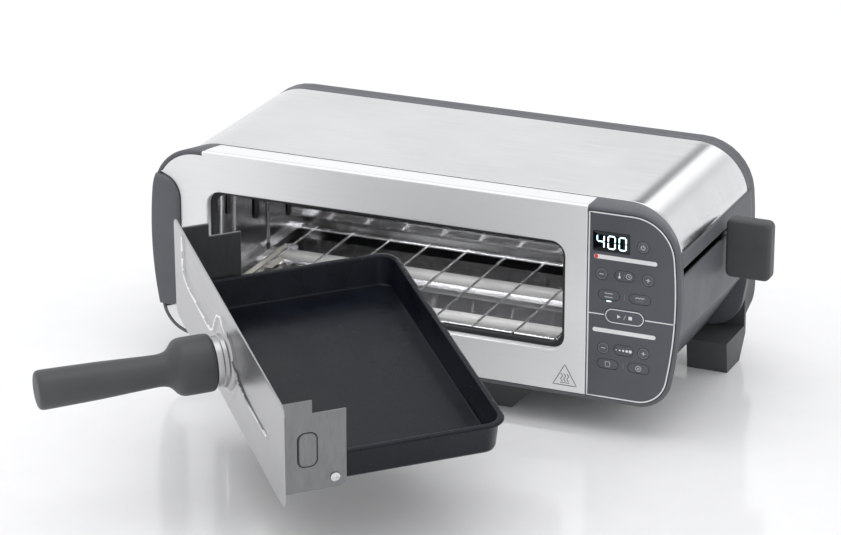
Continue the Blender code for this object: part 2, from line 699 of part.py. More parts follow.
def make_bracket_screw(name, sign):
    """A cross-headed screw through a bracket into the pan's wall."""
    x_in = TRAY_HALF_L + 0.0006
    profile = ((x_in - 0.0004, 0), (x_in - 0.0004, 0.0017), (x_in + 0.0016, 0.0017), (x_in + 0.0016, 0.0040),
               (x_in + 0.0022, 0.0038), (x_in + 0.0028, 0.0028), (x_in + 0.0028, 0))
    v, w = BRACKET_SCREW
    ob = turned(name, profile, "wire_steel", (0, v, w), "x", 16)
    deep, far = x_in + 0.0022, x_in + 0.01
    slot_a = box("slot", (deep, v - 0.0005, w - 0.0024), (far, v + 0.0005, w + 0.0024), None, CUTTERS)
    slot_b = box("slot", (deep, v - 0.0024, w - 0.0005), (far, v + 0.0024, w + 0.0005), None, CUTTERS)
    cut(ob, [slot_a, slot_b])
    if sign < 0:
        ob.data.transform(Matrix.Diagonal((-1, 1, 1, 1)))
        ob.data.flip_normals()
    return ob


def make_handle():
    z = HANDLE_W
    y = -DOOR_T
    ferrule = ((y - 0.0120, 0), (y - 0.0120, 0.0198), (y - 0.0020, 0.0213), (y - GAP, 0.0245), (y - GAP, 0))
    turned("handle_ferrule", ferrule, "satin_steel", (0, 0, z), "y", 28)
    grip = ((y - 0.1505, 0), (y - 0.1505, 0.0108), (y - 0.1500, 0.0143), (y - 0.1465, 0.0156),
            (y - 0.1000, 0.0146), (y - 0.0560, 0.0127), (y - 0.0480, 0.0138), (y - 0.0425, 0.0192),
            (y - 0.0395, 0.0220), (y - 0.0350, 0.0228), (y - 0.0160, 0.0228), (y - 0.0124, 0.0216),
            (y - 0.0124, 0))
    turned("handle_grip", grip, "dark_plastic", (0, 0, z), "y", 28)
    bolt = ((0.0004, 0), (0.0004, 0.0055), (0.0026, 0.0055), (0.0034, 0.0040), (0.0034, 0))
    turned("handle_bolt", bolt, "wire_steel", (0, 0, z), "y", 12)


PAN_NODES = ("door_panel", "pan_tray", "pan_bracket_right", "pan_bracket_left",
             "bracket_screw_right", "bracket_screw_left", "handle_ferrule", "handle_grip", "handle_bolt")


def pan_rest():
    """The pan's place and turn when it is held out: angled across the front, its near end dipped."""
    turn = (Matrix.Rotation(PAN_YAW, 4, "Z") @ Matrix.Rotation(PAN_ROLL, 4, "Y") @
            Matrix.Rotation(PAN_PITCH, 4, "X"))
    return Matrix.Translation(PAN_POS) @ turn


def pan_pole():
    """A point of the slanting line about which the pan turns level and square to the mouth."""
    turn = pan_rest().to_3x3().inverted().to_quaternion()
    start, end = Vector(PAN_POS), Vector(PAN_SQUARE_POS)
    return (start + end) / 2 + turn.axis.cross(end - start) / (2 * math.tan(turn.angle / 2))


def make_pan():
    make_door_panel()
    make_tray()
    make_bracket("pan_bracket_right", 1)
    make_bracket("pan_bracket_left", -1)
    make_bracket_screw("bracket_screw_right", 1)
    make_bracket_screw("bracket_screw_left", -1)
    make_handle()
    pole = pan_pole()
    for name in PAN_NODES:
        ob = bpy.data.objects[name]
        ob.data.transform(pan_rest())
        set_origin(ob, pole)


# ---------------------------------------------------------------- placing
def set_origin(ob, point):
    """Moves the object's origin onto its joint without moving its shape."""
    ob.data.transform(Matrix.Translation(-Vector(point)))
    ob.location = point
    return ob


def place():
    shift = Vector((0.0, -FOOT_CENTRE_Y, FOOT_H))
    for ob in bpy.data.collections[COLLECTION].objects:
        ob.location = ob.location + shift


def build():
    clear_scene()
    make_wrap()
    make_lower_housing()
    make_front_bezel()
    make_front_panel()
    make_left_grip()
    make_window_gasket()
    make_rear_cover()
    make_cord_gland()
    make_rear_feet()
    make_front_foot()
    make_control_panel()
    make_buttons()
    make_control_board()
    make_cavity_liner()
    make_bulkhead()
    make_reflector("lower_reflector", False)
    make_reflector("upper_reflector", True)
    make_heaters()
    make_guard("lower_guard", GUARD_Z[0])
    make_guard("upper_guard", GUARD_Z[1])
    make_guard_brackets()
    make_temperature_probe()
    make_carriage()
    make_lever_knob()
    make_pan()
    place()


build()
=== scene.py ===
"""Looks of the compact flip-type toaster oven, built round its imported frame.

Lengths are metres in the frame's own coordinates. Body drawing coordinates (x, depth, height) are
measured from the front face and the bottom edge of the body, and place() turns them into the frame.
"""
import math

import bmesh
import bpy
import numpy as np
from mathutils import Matrix, Vector


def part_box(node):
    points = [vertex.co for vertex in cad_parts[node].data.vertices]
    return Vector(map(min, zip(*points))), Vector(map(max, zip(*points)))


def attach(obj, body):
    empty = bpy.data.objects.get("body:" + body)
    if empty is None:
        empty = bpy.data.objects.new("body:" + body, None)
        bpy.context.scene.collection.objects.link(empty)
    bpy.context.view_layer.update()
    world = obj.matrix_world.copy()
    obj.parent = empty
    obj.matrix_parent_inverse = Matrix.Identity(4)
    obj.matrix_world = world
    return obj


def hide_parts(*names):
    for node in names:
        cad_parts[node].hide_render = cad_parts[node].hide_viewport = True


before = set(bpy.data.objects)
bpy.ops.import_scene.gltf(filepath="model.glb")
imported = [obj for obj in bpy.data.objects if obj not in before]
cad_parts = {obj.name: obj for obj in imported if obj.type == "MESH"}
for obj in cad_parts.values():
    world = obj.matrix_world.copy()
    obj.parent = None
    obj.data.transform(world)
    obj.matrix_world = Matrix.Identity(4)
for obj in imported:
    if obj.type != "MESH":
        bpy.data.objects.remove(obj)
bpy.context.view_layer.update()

# ------------------------------------------------------------------ sizes taken from the frame
FRONT_Y = float(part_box("front_bezel")[0][1]) + 0.0018
BASE_Z = float(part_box("rear_cover")[0][2])
BODY_H = float(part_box("rear_cover")[1][2]) - BASE_Z
HALF_W = float(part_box("front_bezel")[1][0])
SHELL_BACK = float(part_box("outer_wrap")[1][1]) - FRONT_Y
SHELL_FRONT = float(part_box("outer_wrap")[0][1]) - FRONT_Y

SIDE_BULGE_R, WIDEST_Z = 0.360, 0.094
CORNER_TOP_R, CORNER_BOTTOM_R = 0.040, 0.030
SHELL_STEP, CORNER_GROWTH = 0.0070, 0.0060
REAR_RING_Y = 0.1895
SLOT_Y, SLOT_Z = (0.0245, 0.1345), (0.1150, 0.1080)
WRAP_SIDE_Z = 0.1290
CHAMFER_TOP_Z, CHAMFER_FOOT = 0.0570, (0.1920, 0.0)
LIP_X = (-0.1890, 0.1561)
WINDOW_X, WINDOW_Z, WINDOW_R = (-0.1850, 0.1371), (0.0385, 0.1330), 0.0130
GRIP_EDGE_X, GRIP_Z = -0.2103, (0.0260, 0.1430)
CAVITY_X, CAVITY_Y, CAVITY_Z = (-0.1890, 0.1430), (0.0080, 0.1930), (0.0205, 0.1495)
TUBE_Y, TUBE_Z, TUBE_R = (0.0560, 0.1390), (0.0300, 0.1400), 0.0050
GUARD_Z = (0.0410, 0.1290)
PAN_POS = np.array((-0.0511, -0.2331, 0.0472))
PAN_YAW, PAN_ROLL, PAN_PITCH = (math.radians(a) for a in (-48.03, 8.62, 2.66))
PAN_TURN = Matrix.Rotation(PAN_YAW, 3, "Z") @ Matrix.Rotation(PAN_ROLL, 3, "Y") @ Matrix.Rotation(PAN_PITCH,
                                                                                                  3, "X")
PRINT_T = 0.00008
DOOR_L, DOOR_H, DOOR_T = 0.3100, 0.0893, 0.0014
HANDLE_W = 0.0432
TRAY_HALF_L, TRAY_D, TRAY_Z = 0.1412, (0.0035, 0.1805), (0.0063, 0.0343)


# ------------------------------------------------------------------ surfaces as arrays
def place(points):
    """Body drawing coordinates to frame coordinates: depth and height get their offsets."""
    return points + np.array((0.0, FRONT_Y, BASE_Z))


def place_pan(points):
    """Pan coordinates (along the door, into the tray, up) turned as the pan stands and moved to its place."""
    return place(points @ np.array(PAN_TURN).T + PAN_POS)


def stack(*columns):
    """Three coordinates of any matching shapes made into one array of points."""
    return np.stack(np.broadcast_arrays(*columns), -1).astype(float)


def quads(P, wrap_u=False, wrap_v=False, keep=None, mat=0):
    """A grid of points P[u, v] as points, four-cornered faces between neighbours, and a material number."""
    idx = np.arange(P.shape[0] * P.shape[1]).reshape(P.shape[:2])
    a, b = (idx, np.roll(idx, -1, 0)) if wrap_u else (idx[:-1], idx[1:])
    if wrap_v:
        corners = (a, b, np.roll(b, -1, 1), np.roll(a, -1, 1))
    else:
        corners = (a[:, :-1], b[:, :-1], b[:, 1:], a[:, 1:])
    F = np.stack(corners, -1)
    F = F[keep] if keep is not None else F
    return P.reshape(-1, 3), F.reshape(-1, 4), mat


def arc(cx, cy, r, start, end, n):
    """n points on a circle, between two angles in degrees."""
    a = np.radians(np.linspace(start, end, n))
    return np.stack((cx + r * np.cos(a), cy + r * np.sin(a)), -1)


def rounded_loop(x0, x1, z0, z1, r, n=10):
    """A closed rectangle whose corners are quarter circles of radius r."""
    parts = ((x1 - r, z1 - r, 0), (x0 + r, z1 - r, 90), (x0 + r, z0 + r, 180), (x1 - r, z0 + r, 270))
    return np.concatenate([arc(cx, cz, r, s, s + 90, n) for cx, cz, s in parts])


def tube(path, radius, sides=10, mat=0, closed=False):
    """A round bar: circles of the given radius set square to the path, carried along it without twist."""
    path = np.asarray(path, float)
    d = np.gradient(path, axis=0)
    if closed:
        d = np.roll(path, -1, 0) - np.roll(path, 1, 0)
    d /= np.linalg.norm(d, axis=1, keepdims=True)
    ref = np.array((0.123, 0.287, 0.950))
    s = np.cross(d, ref)
    s /= np.linalg.norm(s, axis=1, keepdims=True)
    t = np.cross(d, s)
    a = np.linspace(0, 2 * np.pi, sides, endpoint=False)
    radius = np.broadcast_to(np.asarray(radius, float), (len(path),))
    ring = s[:, None] * np.cos(a)[None, :, None] + t[:, None] * np.sin(a)[None, :, None]
    P = path[:, None] + ring * radius[:, None, None]
    if not closed:
        P = np.concatenate((np.repeat(path[:1, None], sides, 1), P, np.repeat(path[-1:, None], sides, 1)))
    return quads(P, wrap_u=closed, wrap_v=True, mat=mat)


def turned(profile, centre=(0, 0, 0), axis=1, sides=64, mat=0):
    """A turned shape: radius against distance, carried round an axis (0, 1 or 2)."""
    profile = np.asarray(profile, float)
    a = np.linspace(0, 2 * np.pi, sides, endpoint=False)
    ca, sa = np.cos(a)[None] * profile[:, 1:2], np.sin(a)[None] * profile[:, 1:2]
    along = np.broadcast_to(profile[:, :1], ca.shape)
    order = {0: (along, ca, sa), 1: (ca, along, sa), 2: (ca, sa, along)}[axis]
    return quads(np.stack(order, -1) + np.array(centre), wrap_v=True, mat=mat)


def slab(loop_at, sections, mat=0):
    """A closed slab: loop_at(inset) gives an outline, and sections of (inset, depth) carry it through.

    The first and last outlines are drawn in to their middle to close the ends.
    """
    rings = [stack(loop_at(i)[:, 0], y, loop_at(i)[:, 1])
             for i, y in sections]
    first, last = rings[0], rings[-1]
    for k in (0.5, 0.0):
        rings.insert(0, first.mean(0) + (first - first.mean(0)) * k)
        rings.append(last.mean(0) + (last - last.mean(0)) * k)
    return quads(np.array(rings), wrap_v=True, mat=mat)


def round_edge(y0, y1, r, n=4):
    """Sections (inset, depth) of a slab from y0 to y1 whose two edges are rounded with radius r."""
    a = np.radians(np.linspace(0, 90, n))
    start = [(r - r * math.sin(t), y0 + r - r * math.cos(t)) for t in a]
    return start + [(r - r * math.sin(t), y1 - r + r * math.cos(t)) for t in a[::-1]]


def piece(name, surfaces, mats, body, stands_for=(), turn=place, solid=0.0, smooth=40.0, uv=None):
    """Makes one object from surfaces, merges doubled points, faces it outwards and sets it on its body."""
    verts, faces, numbers, base = [], [], [], 0
    for pts, quad, mat in surfaces:
        verts.append(turn(pts))
        faces.append(quad + base)
        numbers.append(np.full(len(quad), mat))
        base += len(pts)
    verts, faces, numbers = np.concatenate(verts), np.concatenate(faces), np.concatenate(numbers)
    mesh = bpy.data.meshes.new(name)
    mesh.from_pydata(verts.tolist(), [], faces.tolist())
    mesh.polygons.foreach_set("material_index", numbers.astype(np.int32))
    if uv is not None:
        layer = mesh.uv_layers.new(name="run")
        loops = np.empty(len(mesh.loops), np.int32)
        mesh.loops.foreach_get("vertex_index", loops)
        layer.data.foreach_set("uv", uv[loops].astype(np.float32).ravel())
    bm = bmesh.new()
    bm.from_mesh(mesh)
    bmesh.ops.remove_doubles(bm, verts=bm.verts, dist=2e-6)
    bmesh.ops.dissolve_degenerate(bm, edges=bm.edges, dist=1e-7)
    bmesh.ops.recalc_face_normals(bm, faces=bm.faces)
    middle = sum((v.co for v in bm.verts), Vector()) / len(bm.verts)
    outward = sum(f.normal.dot(f.calc_center_median() - middle) * f.calc_area() for f in bm.faces)
    closed = all(e.is_manifold for e in bm.edges)
    if (bm.calc_volume(signed=True) < 0) if closed else (outward < 0):
        bmesh.ops.reverse_faces(bm, faces=bm.faces)
    bm.to_mesh(mesh)
    bm.free()
    ob = bpy.data.objects.new(name, mesh)
    bpy.context.scene.collection.objects.link(ob)
    for mat in (mats if isinstance(mats, (list, tuple)) else [mats]):
        mesh.materials.append(mat)
    mesh.shade_smooth()
    mesh.set_sharp_from_angle(angle=math.radians(smooth))
    if solid:
        mod = ob.modifiers.new("wall", "SOLIDIFY")
        mod.thickness = solid
        mod.offset = -1
    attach(ob, body)
    if stands_for:
        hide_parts(*stands_for)
    return ob


# ------------------------------------------------------------------ body outline
def half_outline(inset=0.0, step=0.0, chamfer=False, n=22):
    """Right half of the body's outline, top middle to bottom middle: line, arc, bulged side, arc, line.

    Insetting shortens each radius. Step 0 is the front outline and step 1 the narrower, rounder shell
    behind the ring. With chamfer, the side below the crease runs straight to the bottom.
    """
    top_r = CORNER_TOP_R + CORNER_GROWTH * step
    side_x, top_z = HALF_W - SHELL_STEP * step - SIDE_BULGE_R, BODY_H - top_r
    reach_t, reach_b = SIDE_BULGE_R - top_r, SIDE_BULGE_R - CORNER_BOTTOM_R
    tx = side_x + math.sqrt(reach_t ** 2 - (top_z - WIDEST_Z) ** 2)
    bx = side_x + math.sqrt(reach_b ** 2 - (CORNER_BOTTOM_R - WIDEST_Z) ** 2)
    ta = math.degrees(math.atan2(top_z - WIDEST_Z, tx - side_x))
    ba = math.degrees(math.atan2(CORNER_BOTTOM_R - WIDEST_Z, bx - side_x))
    xs = np.linspace(0, LIP_X[1] - 2e-4, 16)
    xs = np.concatenate((xs, np.linspace(LIP_X[1] + 2e-4, tx, 10)))[:-1]
    top = stack(xs, BODY_H - inset)
    corner = arc(tx, top_z, top_r - inset, 90, ta, n)
    side = arc(side_x, WIDEST_Z, SIDE_BULGE_R - inset, ta, ba, 44)[1:-1]
    low = arc(bx, CORNER_BOTTOM_R, CORNER_BOTTOM_R - inset, ba, -90, n)
    xs = np.linspace(bx, 0, 14)[1:]
    bottom = stack(xs, inset)
    pts = np.concatenate((top, corner, side, low, bottom))
    if chamfer:
        crease_x = side_x + math.sqrt((SIDE_BULGE_R - inset) ** 2 - (CHAMFER_TOP_Z - WIDEST_Z) ** 2)
        foot = (CHAMFER_FOOT[0] - inset, inset)
        upper = pts[pts[:, 1] > CHAMFER_TOP_Z + 1e-4]
        t = np.linspace(0, 1, 14)[:, None]
        slope = np.array((crease_x, CHAMFER_TOP_Z)) * (1 - t) + np.array(foot) * t
        xs = np.linspace(foot[0], 0, 14)[1:]
        pts = np.concatenate((upper, slope, stack(xs, inset)))
    return pts


def outline(inset=0.0, step=0.0):
    half = half_outline(inset, step)
    return np.concatenate((half, (half[1:-1] * (-1, 1))[::-1]))


def cut_path(path, z):
    """The part of a falling path above a height, ending exactly at it, and the part below it."""
    k = int(np.argmax(path[:, 1] < z))
    (xa, za), (xb, zb) = path[k - 1], path[k]
    mid = np.array([[xa + (xb - xa) * (za - z) / (za - zb), z]])
    return np.concatenate((path[:k], mid)), np.concatenate((mid, path[k:]))


def run_length(path):
    return np.concatenate(([0], np.cumsum(np.linalg.norm(np.diff(path, axis=0), axis=1))))


# ------------------------------------------------------------------ shader groups and materials
def new_node(tree, kind, **settings):
    nd = tree.nodes.new(kind)
    for key, value in settings.items():
        if key.startswith("in_"):
            nd.inputs[key[3:].replace("_", " ")].default_value = value
        else:
            setattr(nd, key, value)
    return nd


def make_group(name, inputs, outputs):
    tree = bpy.data.node_groups.new(name, "ShaderNodeTree")
    for label, kind, value in inputs:
        sock = tree.interface.new_socket(label, in_out="INPUT", socket_type=kind)
        if value is not None:
            sock.default_value = value
    for label, kind in outputs:
        tree.interface.new_socket(label, in_out="OUTPUT", socket_type=kind)
    return tree, tree.nodes.new("NodeGroupInput"), tree.nodes.new("NodeGroupOutput")


def finish_group(name, own_input):
    """The start of each finish: its own input beside two colours and two roughnesses to vary between."""
    return make_group(name, (
        ("Vector", "NodeSocketVector", None), own_input,
        ("Light", "NodeSocketColor", (0.8, 0.8, 0.8, 1)), ("Dark", "NodeSocketColor", (0.6, 0.6, 0.6, 1)),
        ("Rough low", "NodeSocketFloat", 0.25), ("Rough high", "NodeSocketFloat", 0.4)),
        (("Color", "NodeSocketColor"), ("Roughness", "NodeSocketFloat"), ("Height", "NodeSocketFloat")))


def vary(tree, gi, go, mask, at_dark, at_light):
    """The end of each finish: a noise, stretched to full range, mixes the colours and the roughnesses."""
    L = tree.links.new
    spread = new_node(tree, "ShaderNodeMapRange", in_From_Min=0.3, in_From_Max=0.7)
    L(mask, spread.inputs["Value"])
    colour = new_node(tree, "ShaderNodeMix", data_type="RGBA")
    L(spread.outputs[0], colour.inputs[0])
    L(gi.outputs["Dark"], colour.inputs[6])
    L(gi.outputs["Light"], colour.inputs[7])
    rough = new_node(tree, "ShaderNodeMapRange")
    L(spread.outputs[0], rough.inputs["Value"])
    L(gi.outputs[at_dark], rough.inputs["To Min"])
    L(gi.outputs[at_light], rough.inputs["To Max"])
    L(colour.outputs[2], go.inputs["Color"])
    L(rough.outputs[0], go.inputs["Roughness"])


def brushed_group():
    """Fine lines along one direction: noise on stretched coordinates, over a slower cloudy noise."""
    tree, gi, go = finish_group("brushed_lines", ("Stretch", "NodeSocketVector", (12.0, 2500.0, 2500.0)))
    L = tree.links.new
    mul = new_node(tree, "ShaderNodeVectorMath", operation="MULTIPLY")
    L(gi.outputs["Vector"], mul.inputs[0])
    L(gi.outputs["Stretch"], mul.inputs[1])
    lines = new_node(tree, "ShaderNodeTexNoise", in_Scale=1.0, in_Detail=4.0, in_Roughness=0.65)
    L(mul.outputs[0], lines.inputs["Vector"])
    cloud = new_node(tree, "ShaderNodeTexNoise", in_Scale=9.0, in_Detail=3.0)
    L(gi.outputs["Vector"], cloud.inputs["Vector"])
    both = new_node(tree, "ShaderNodeMix", data_type="FLOAT")
    both.inputs[0].default_value = 0.35
    L(lines.outputs["Fac"], both.inputs[2])
    L(cloud.outputs["Fac"], both.inputs[3])
    vary(tree, gi, go, both.outputs[0], "Rough high", "Rough low")
    L(lines.outputs["Fac"], go.inputs["Height"])
    return tree


def grain_group():
    """Moulded plastic and coatings: a fine pebble noise, and a slow one that varies colour and gloss."""
    tree, gi, go = finish_group("moulded_grain", ("Grain", "NodeSocketFloat", 2200.0))
    L = tree.links.new
    pebble = new_node(tree, "ShaderNodeTexVoronoi", feature="SMOOTH_F1")
    L(gi.outputs["Vector"], pebble.inputs["Vector"])
    L(gi.outputs["Grain"], pebble.inputs["Scale"])
    cloud = new_node(tree, "ShaderNodeTexNoise", in_Scale=35.0, in_Detail=5.0)
    L(gi.outputs["Vector"], cloud.inputs["Vector"])
    vary(tree, gi, go, cloud.outputs["Fac"], "Rough low", "Rough high")
    L(pebble.outputs["Distance"], go.inputs["Height"])
    return tree


BRUSHED, GRAIN = brushed_group(), grain_group()


def surface_material(name, group, light, dark, rough, metallic, bump, values, coords="Object",
                     turn=(0, 0, 0), **extra):
    """A Principled material whose colour, gloss and bump come from one of the shader groups."""
    mat = bpy.data.materials.new(name)
    mat.use_nodes = True
    tree = mat.node_tree
    bsdf = tree.nodes["Principled BSDF"]
    if coords == "Object":
        source = new_node(tree, "ShaderNodeTexCoord").outputs["Object"]
    else:
        source = new_node(tree, "ShaderNodeUVMap", uv_map=coords).outputs["UV"]
    mapping = new_node(tree, "ShaderNodeMapping")
    mapping.inputs["Rotation"].default_value = turn
    tree.links.new(source, mapping.inputs["Vector"])
    nd = new_node(tree, "ShaderNodeGroup", node_tree=group)
    tree.links.new(mapping.outputs[0], nd.inputs["Vector"])
    nd.inputs["Light"].default_value = (*light, 1)
    nd.inputs["Dark"].default_value = (*dark, 1)
    nd.inputs["Rough low"].default_value, nd.inputs["Rough high"].default_value = rough
    for key, value in values.items():
        nd.inputs[key].default_value = value
    tree.links.new(nd.outputs["Color"], bsdf.inputs["Base Color"])
    tree.links.new(nd.outputs["Roughness"], bsdf.inputs["Roughness"])
    bm = new_node(tree, "ShaderNodeBump", in_Strength=bump[0], in_Distance=bump[1])
    tree.links.new(nd.outputs["Height"], bm.inputs["Height"])
    tree.links.new(bm.outputs[0], bsdf.inputs["Normal"])
    bsdf.inputs["Metallic"].default_value = metallic
    for key, value in extra.items():
        bsdf.inputs[key.replace("_", " ")].default_value = value
    mat.diffuse_color = (*light, 1)
    return mat


ALONG_X = {"Stretch": (14.0, 2600.0, 2600.0)}
ALONG_DOOR = tuple(PAN_TURN.inverted().to_euler())
WRAP_STEEL = surface_material("wrap_brushed_steel", BRUSHED, (0.80, 0.81, 0.82), (0.62, 0.63, 0.645),
                              (0.14, 0.24), 1.0, (0.10, 0.0002), {"Stretch": (14.0, 2600.0, 1.0)},
                              coords="run")
FRONT_STEEL = surface_material("front_satin_steel", BRUSHED, (0.93, 0.935, 0.945), (0.87, 0.875, 0.885),
                               (0.46, 0.56), 0.55, (0.06, 0.0002), ALONG_X)
DOOR_STEEL = surface_material("door_satin_steel", BRUSHED, (0.50, 0.50, 0.51), (0.43, 0.43, 0.44),
                              (0.26, 0.36), 1.0, (0.06, 0.0002), {"Stretch": (14.0, 1800.0, 2600.0)},
                              turn=ALONG_DOOR)
# A much lighter copy of the door steel for the top of the pressed bead: a painted highlight.
BEAD_PAINTED_HIGHLIGHT = surface_material("door_bead_painted_highlight", BRUSHED, (0.97, 0.97, 0.97), (0.90, 0.90, 0.91),
                              (0.26, 0.36), 0.6, (0.03, 0.0002), {"Stretch": (14.0, 1800.0, 2600.0)},
                              turn=ALONG_DOOR)
BRACKET_STEEL = surface_material("bracket_rolled_steel", BRUSHED, (0.25, 0.255, 0.26), (0.20, 0.205, 0.21),
                                 (0.36, 0.50), 1.0, (0.05, 0.0002), {"Stretch": (300.0, 300.0, 40.0)})
CAVITY_STEEL = surface_material("cavity_bright_steel", BRUSHED, (0.66, 0.66, 0.67), (0.48, 0.48, 0.49),
                                (0.12, 0.24), 1.0, (0.05, 0.0003), {"Stretch": (20.0, 700.0, 700.0)})
WIRE_STEEL = surface_material("guard_wire_steel", BRUSHED, (0.78, 0.78, 0.79), (0.60, 0.60, 0.61),
                              (0.16, 0.28), 1.0, (0.05, 0.0002), {"Stretch": (400.0, 400.0, 400.0)})
GREY_PLASTIC = surface_material("body_grey_plastic", GRAIN, (0.112, 0.118, 0.131), (0.096, 0.101, 0.113),
                                (0.42, 0.55), 0.0, (0.12, 0.0001), {"Grain": 2400.0})
PANEL_PLASTIC = surface_material("panel_satin_plastic", GRAIN, (0.096, 0.100, 0.114), (0.086, 0.090, 0.103),
                                 (0.30, 0.38), 0.0, (0.04, 0.0001), {"Grain": 4200.0})
DARK_PLASTIC = surface_material("handle_dark_plastic", GRAIN, (0.062, 0.066, 0.068), (0.050, 0.053, 0.056),
                                (0.40, 0.55), 0.0, (0.15, 0.0001), {"Grain": 2000.0})
SEAL_RUBBER = surface_material("window_seal_rubber", GRAIN, (0.020, 0.020, 0.022), (0.010, 0.010, 0.011),
                               (0.60, 0.85), 0.0, (0.6, 0.0004), {"Grain": 900.0})
NONSTICK = surface_material("pan_nonstick_coating", GRAIN, (0.007, 0.009, 0.015), (0.004, 0.005, 0.009),
                            (0.22, 0.34), 0.0, (0.10, 0.0001), {"Grain": 1500.0}, Specular_IOR_Level=0.22)
# Near-black for painted shade: the slots and openings in the cavity wall and the gap round the bracket tab.
PAINTED_SHADE_BLACK = surface_material("painted_shade_black", GRAIN, (0.006, 0.006, 0.006), (0.003, 0.003, 0.003),
                              (0.7, 0.9), 0.0, (0.1, 0.0001), {"Grain": 1200.0})
CERAMIC = surface_material("holder_ceramic", GRAIN, (0.82, 0.80, 0.74), (0.70, 0.67, 0.60),
                           (0.55, 0.75), 0.0, (0.25, 0.0002), {"Grain": 1400.0})
FILAMENT = surface_material("heater_filament", BRUSHED, (0.42, 0.38, 0.34), (0.28, 0.25, 0.22), (0.30, 0.50),
                            1.0, (0.1, 0.0002), {"Stretch": (900.0, 900.0, 900.0)})
BOARD_GREEN = surface_material("circuit_board_green", GRAIN, (0.030, 0.130, 0.060), (0.015, 0.090, 0.040),
                               (0.35, 0.55), 0.0, (0.1, 0.0001), {"Grain": 700.0})
PRINT_WHITE = surface_material("panel_print_white", GRAIN, (0.86, 0.87, 0.88), (0.78, 0.79, 0.80),
                               (0.40, 0.50), 0.0, (0.03, 0.0001), {"Grain": 3000.0})
PRINT_GREY = surface_material("panel_print_grey", GRAIN, (0.30, 0.31, 0.33), (0.25, 0.26, 0.28),
                              (0.40, 0.50), 0.0, (0.03, 0.0001), {"Grain": 3000.0})
PRINT_RED = surface_material("panel_print_red", GRAIN, (0.75, 0.05, 0.04), (0.62, 0.03, 0.03),
                             (0.35, 0.45), 0.0, (0.03, 0.0001), {"Grain": 3000.0})
SIGN_GREY = surface_material("sign_etched_grey", GRAIN, (0.16, 0.16, 0.165), (0.11, 0.11, 0.115),
                             (0.45, 0.60), 0.2, (0.05, 0.0001), {"Grain": 3000.0})
DISPLAY_BLACK = surface_material("display_black_lens", GRAIN, (0.004, 0.006, 0.008), (0.002, 0.004, 0.006),
                                 (0.08, 0.14), 0.0, (0.01, 0.0001), {"Grain": 1500.0})
FLOOR_WHITE = surface_material("floor_pale", GRAIN, (0.95, 0.95, 0.955), (0.93, 0.93, 0.935), (0.10, 0.13),
                               0.0, (0.0, 0.0001), {"Grain": 40.0})


def glowing(name, colour, strength):
    """A lit segment: the emission varies a little over the surface, as light does behind a diffuser."""
    mat = bpy.data.materials.new(name)
    mat.use_nodes = True
    tree = mat.node_tree
    bsdf = tree.nodes["Principled BSDF"]
    noise = new_node(tree, "ShaderNodeTexNoise", in_Scale=600.0)
    tree.links.new(new_node(tree, "ShaderNodeTexCoord").outputs["Object"], noise.inputs["Vector"])
    mix = new_node(tree, "ShaderNodeMix", data_type="RGBA")
    tree.links.new(noise.outputs["Fac"], mix.inputs[0])
    mix.inputs[6].default_value = (*[c * 0.85 for c in colour], 1)
    mix.inputs[7].default_value = (*colour, 1)
    tree.links.new(mix.outputs[2], bsdf.inputs["Emission Color"])
    tree.links.new(mix.outputs[2], bsdf.inputs["Base Color"])
    bsdf.inputs["Emission Strength"].default_value = strength
    return mat


def quartz():
    mat = surface_material("heater_quartz", GRAIN, (0.86, 0.86, 0.85), (0.78, 0.78, 0.77), (0.10, 0.20), 0.0,
                           (0.02, 0.0001), {"Grain": 500.0})
    bsdf = mat.node_tree.nodes["Principled BSDF"]
    bsdf.inputs["Transmission Weight"].default_value = 0.35
    bsdf.inputs["IOR"].default_value = 1.35
    return mat


DIGIT_GLOW = glowing("display_lit_segment", (0.72, 0.93, 1.0), 2.2)
LED_GLOW = glowing("lamp_lit_bar", (0.75, 0.93, 1.0), 1.6)
QUARTZ = quartz()


# ------------------------------------------------------------------ outer skin
def wrap_skin():
    """The bent steel cover: the upper outline swept front to back, its two ends rolled in a little."""
    right, _ = cut_path(half_outline(0.0, 1.0), WRAP_SIDE_Z)
    path = np.concatenate(((right[1:] * (-1, 1))[::-1], right))
    along = np.gradient(path, axis=0)
    inward = np.stack((along[:, 1], -along[:, 0]), -1)
    inward *= 0.0012 / np.linalg.norm(inward, axis=1, keepdims=True)
    reach = REAR_RING_Y - 0.0006 - SHELL_FRONT
    ys = np.concatenate(([0.0, 0.0002, 0.0006], np.linspace(0.002, reach - 0.002, 30),
                         [reach - 0.0004, reach]))
    roll = np.zeros(len(ys))
    roll[:3] = (0.5, 0.2, 0.03)
    roll[-2:] = (0.05, 0.4)
    P = path[:, None] + inward[:, None] * roll[None, :, None]
    P = stack(P[..., 0], (SHELL_FRONT + ys)[None], P[..., 1])
    run = np.broadcast_to((run_length(path) - run_length(path)[-1] / 2)[:, None], P.shape[:2])
    uv = np.stack((run, np.broadcast_to(ys[None], P.shape[:2])), -1).reshape(-1, 2)
    piece("wrap_skin", [quads(P)], WRAP_STEEL, "oven_body", ("outer_wrap",), solid=0.0011,
          uv=uv)


def rear_ring_skin():
    """The grey edge behind the wrap: a rounded section carried along the same upper outline."""
    loops = {inset: cut_path(half_outline(inset, 1.0), WRAP_SIDE_Z)[0] for inset in (0.0, 0.0005, 0.0022)}
    rows = []
    for inset, y in ((0.0022, REAR_RING_Y + 0.0002), (0.0005, REAR_RING_Y), (0.0, REAR_RING_Y + 0.0006),
                     (0.0, SHELL_BACK - 0.0002), (0.0005, SHELL_BACK + 0.0002),
                     (0.0022, SHELL_BACK + 0.0002)):
        path = np.concatenate(((loops[inset][1:] * (-1, 1))[::-1], loops[inset]))
        rows.append(stack(path[:, 0], y, path[:, 1]))
    piece("rear_ring_skin", [quads(np.array(rows), wrap_u=True)], GREY_PLASTIC, "oven_body",
          smooth=35)


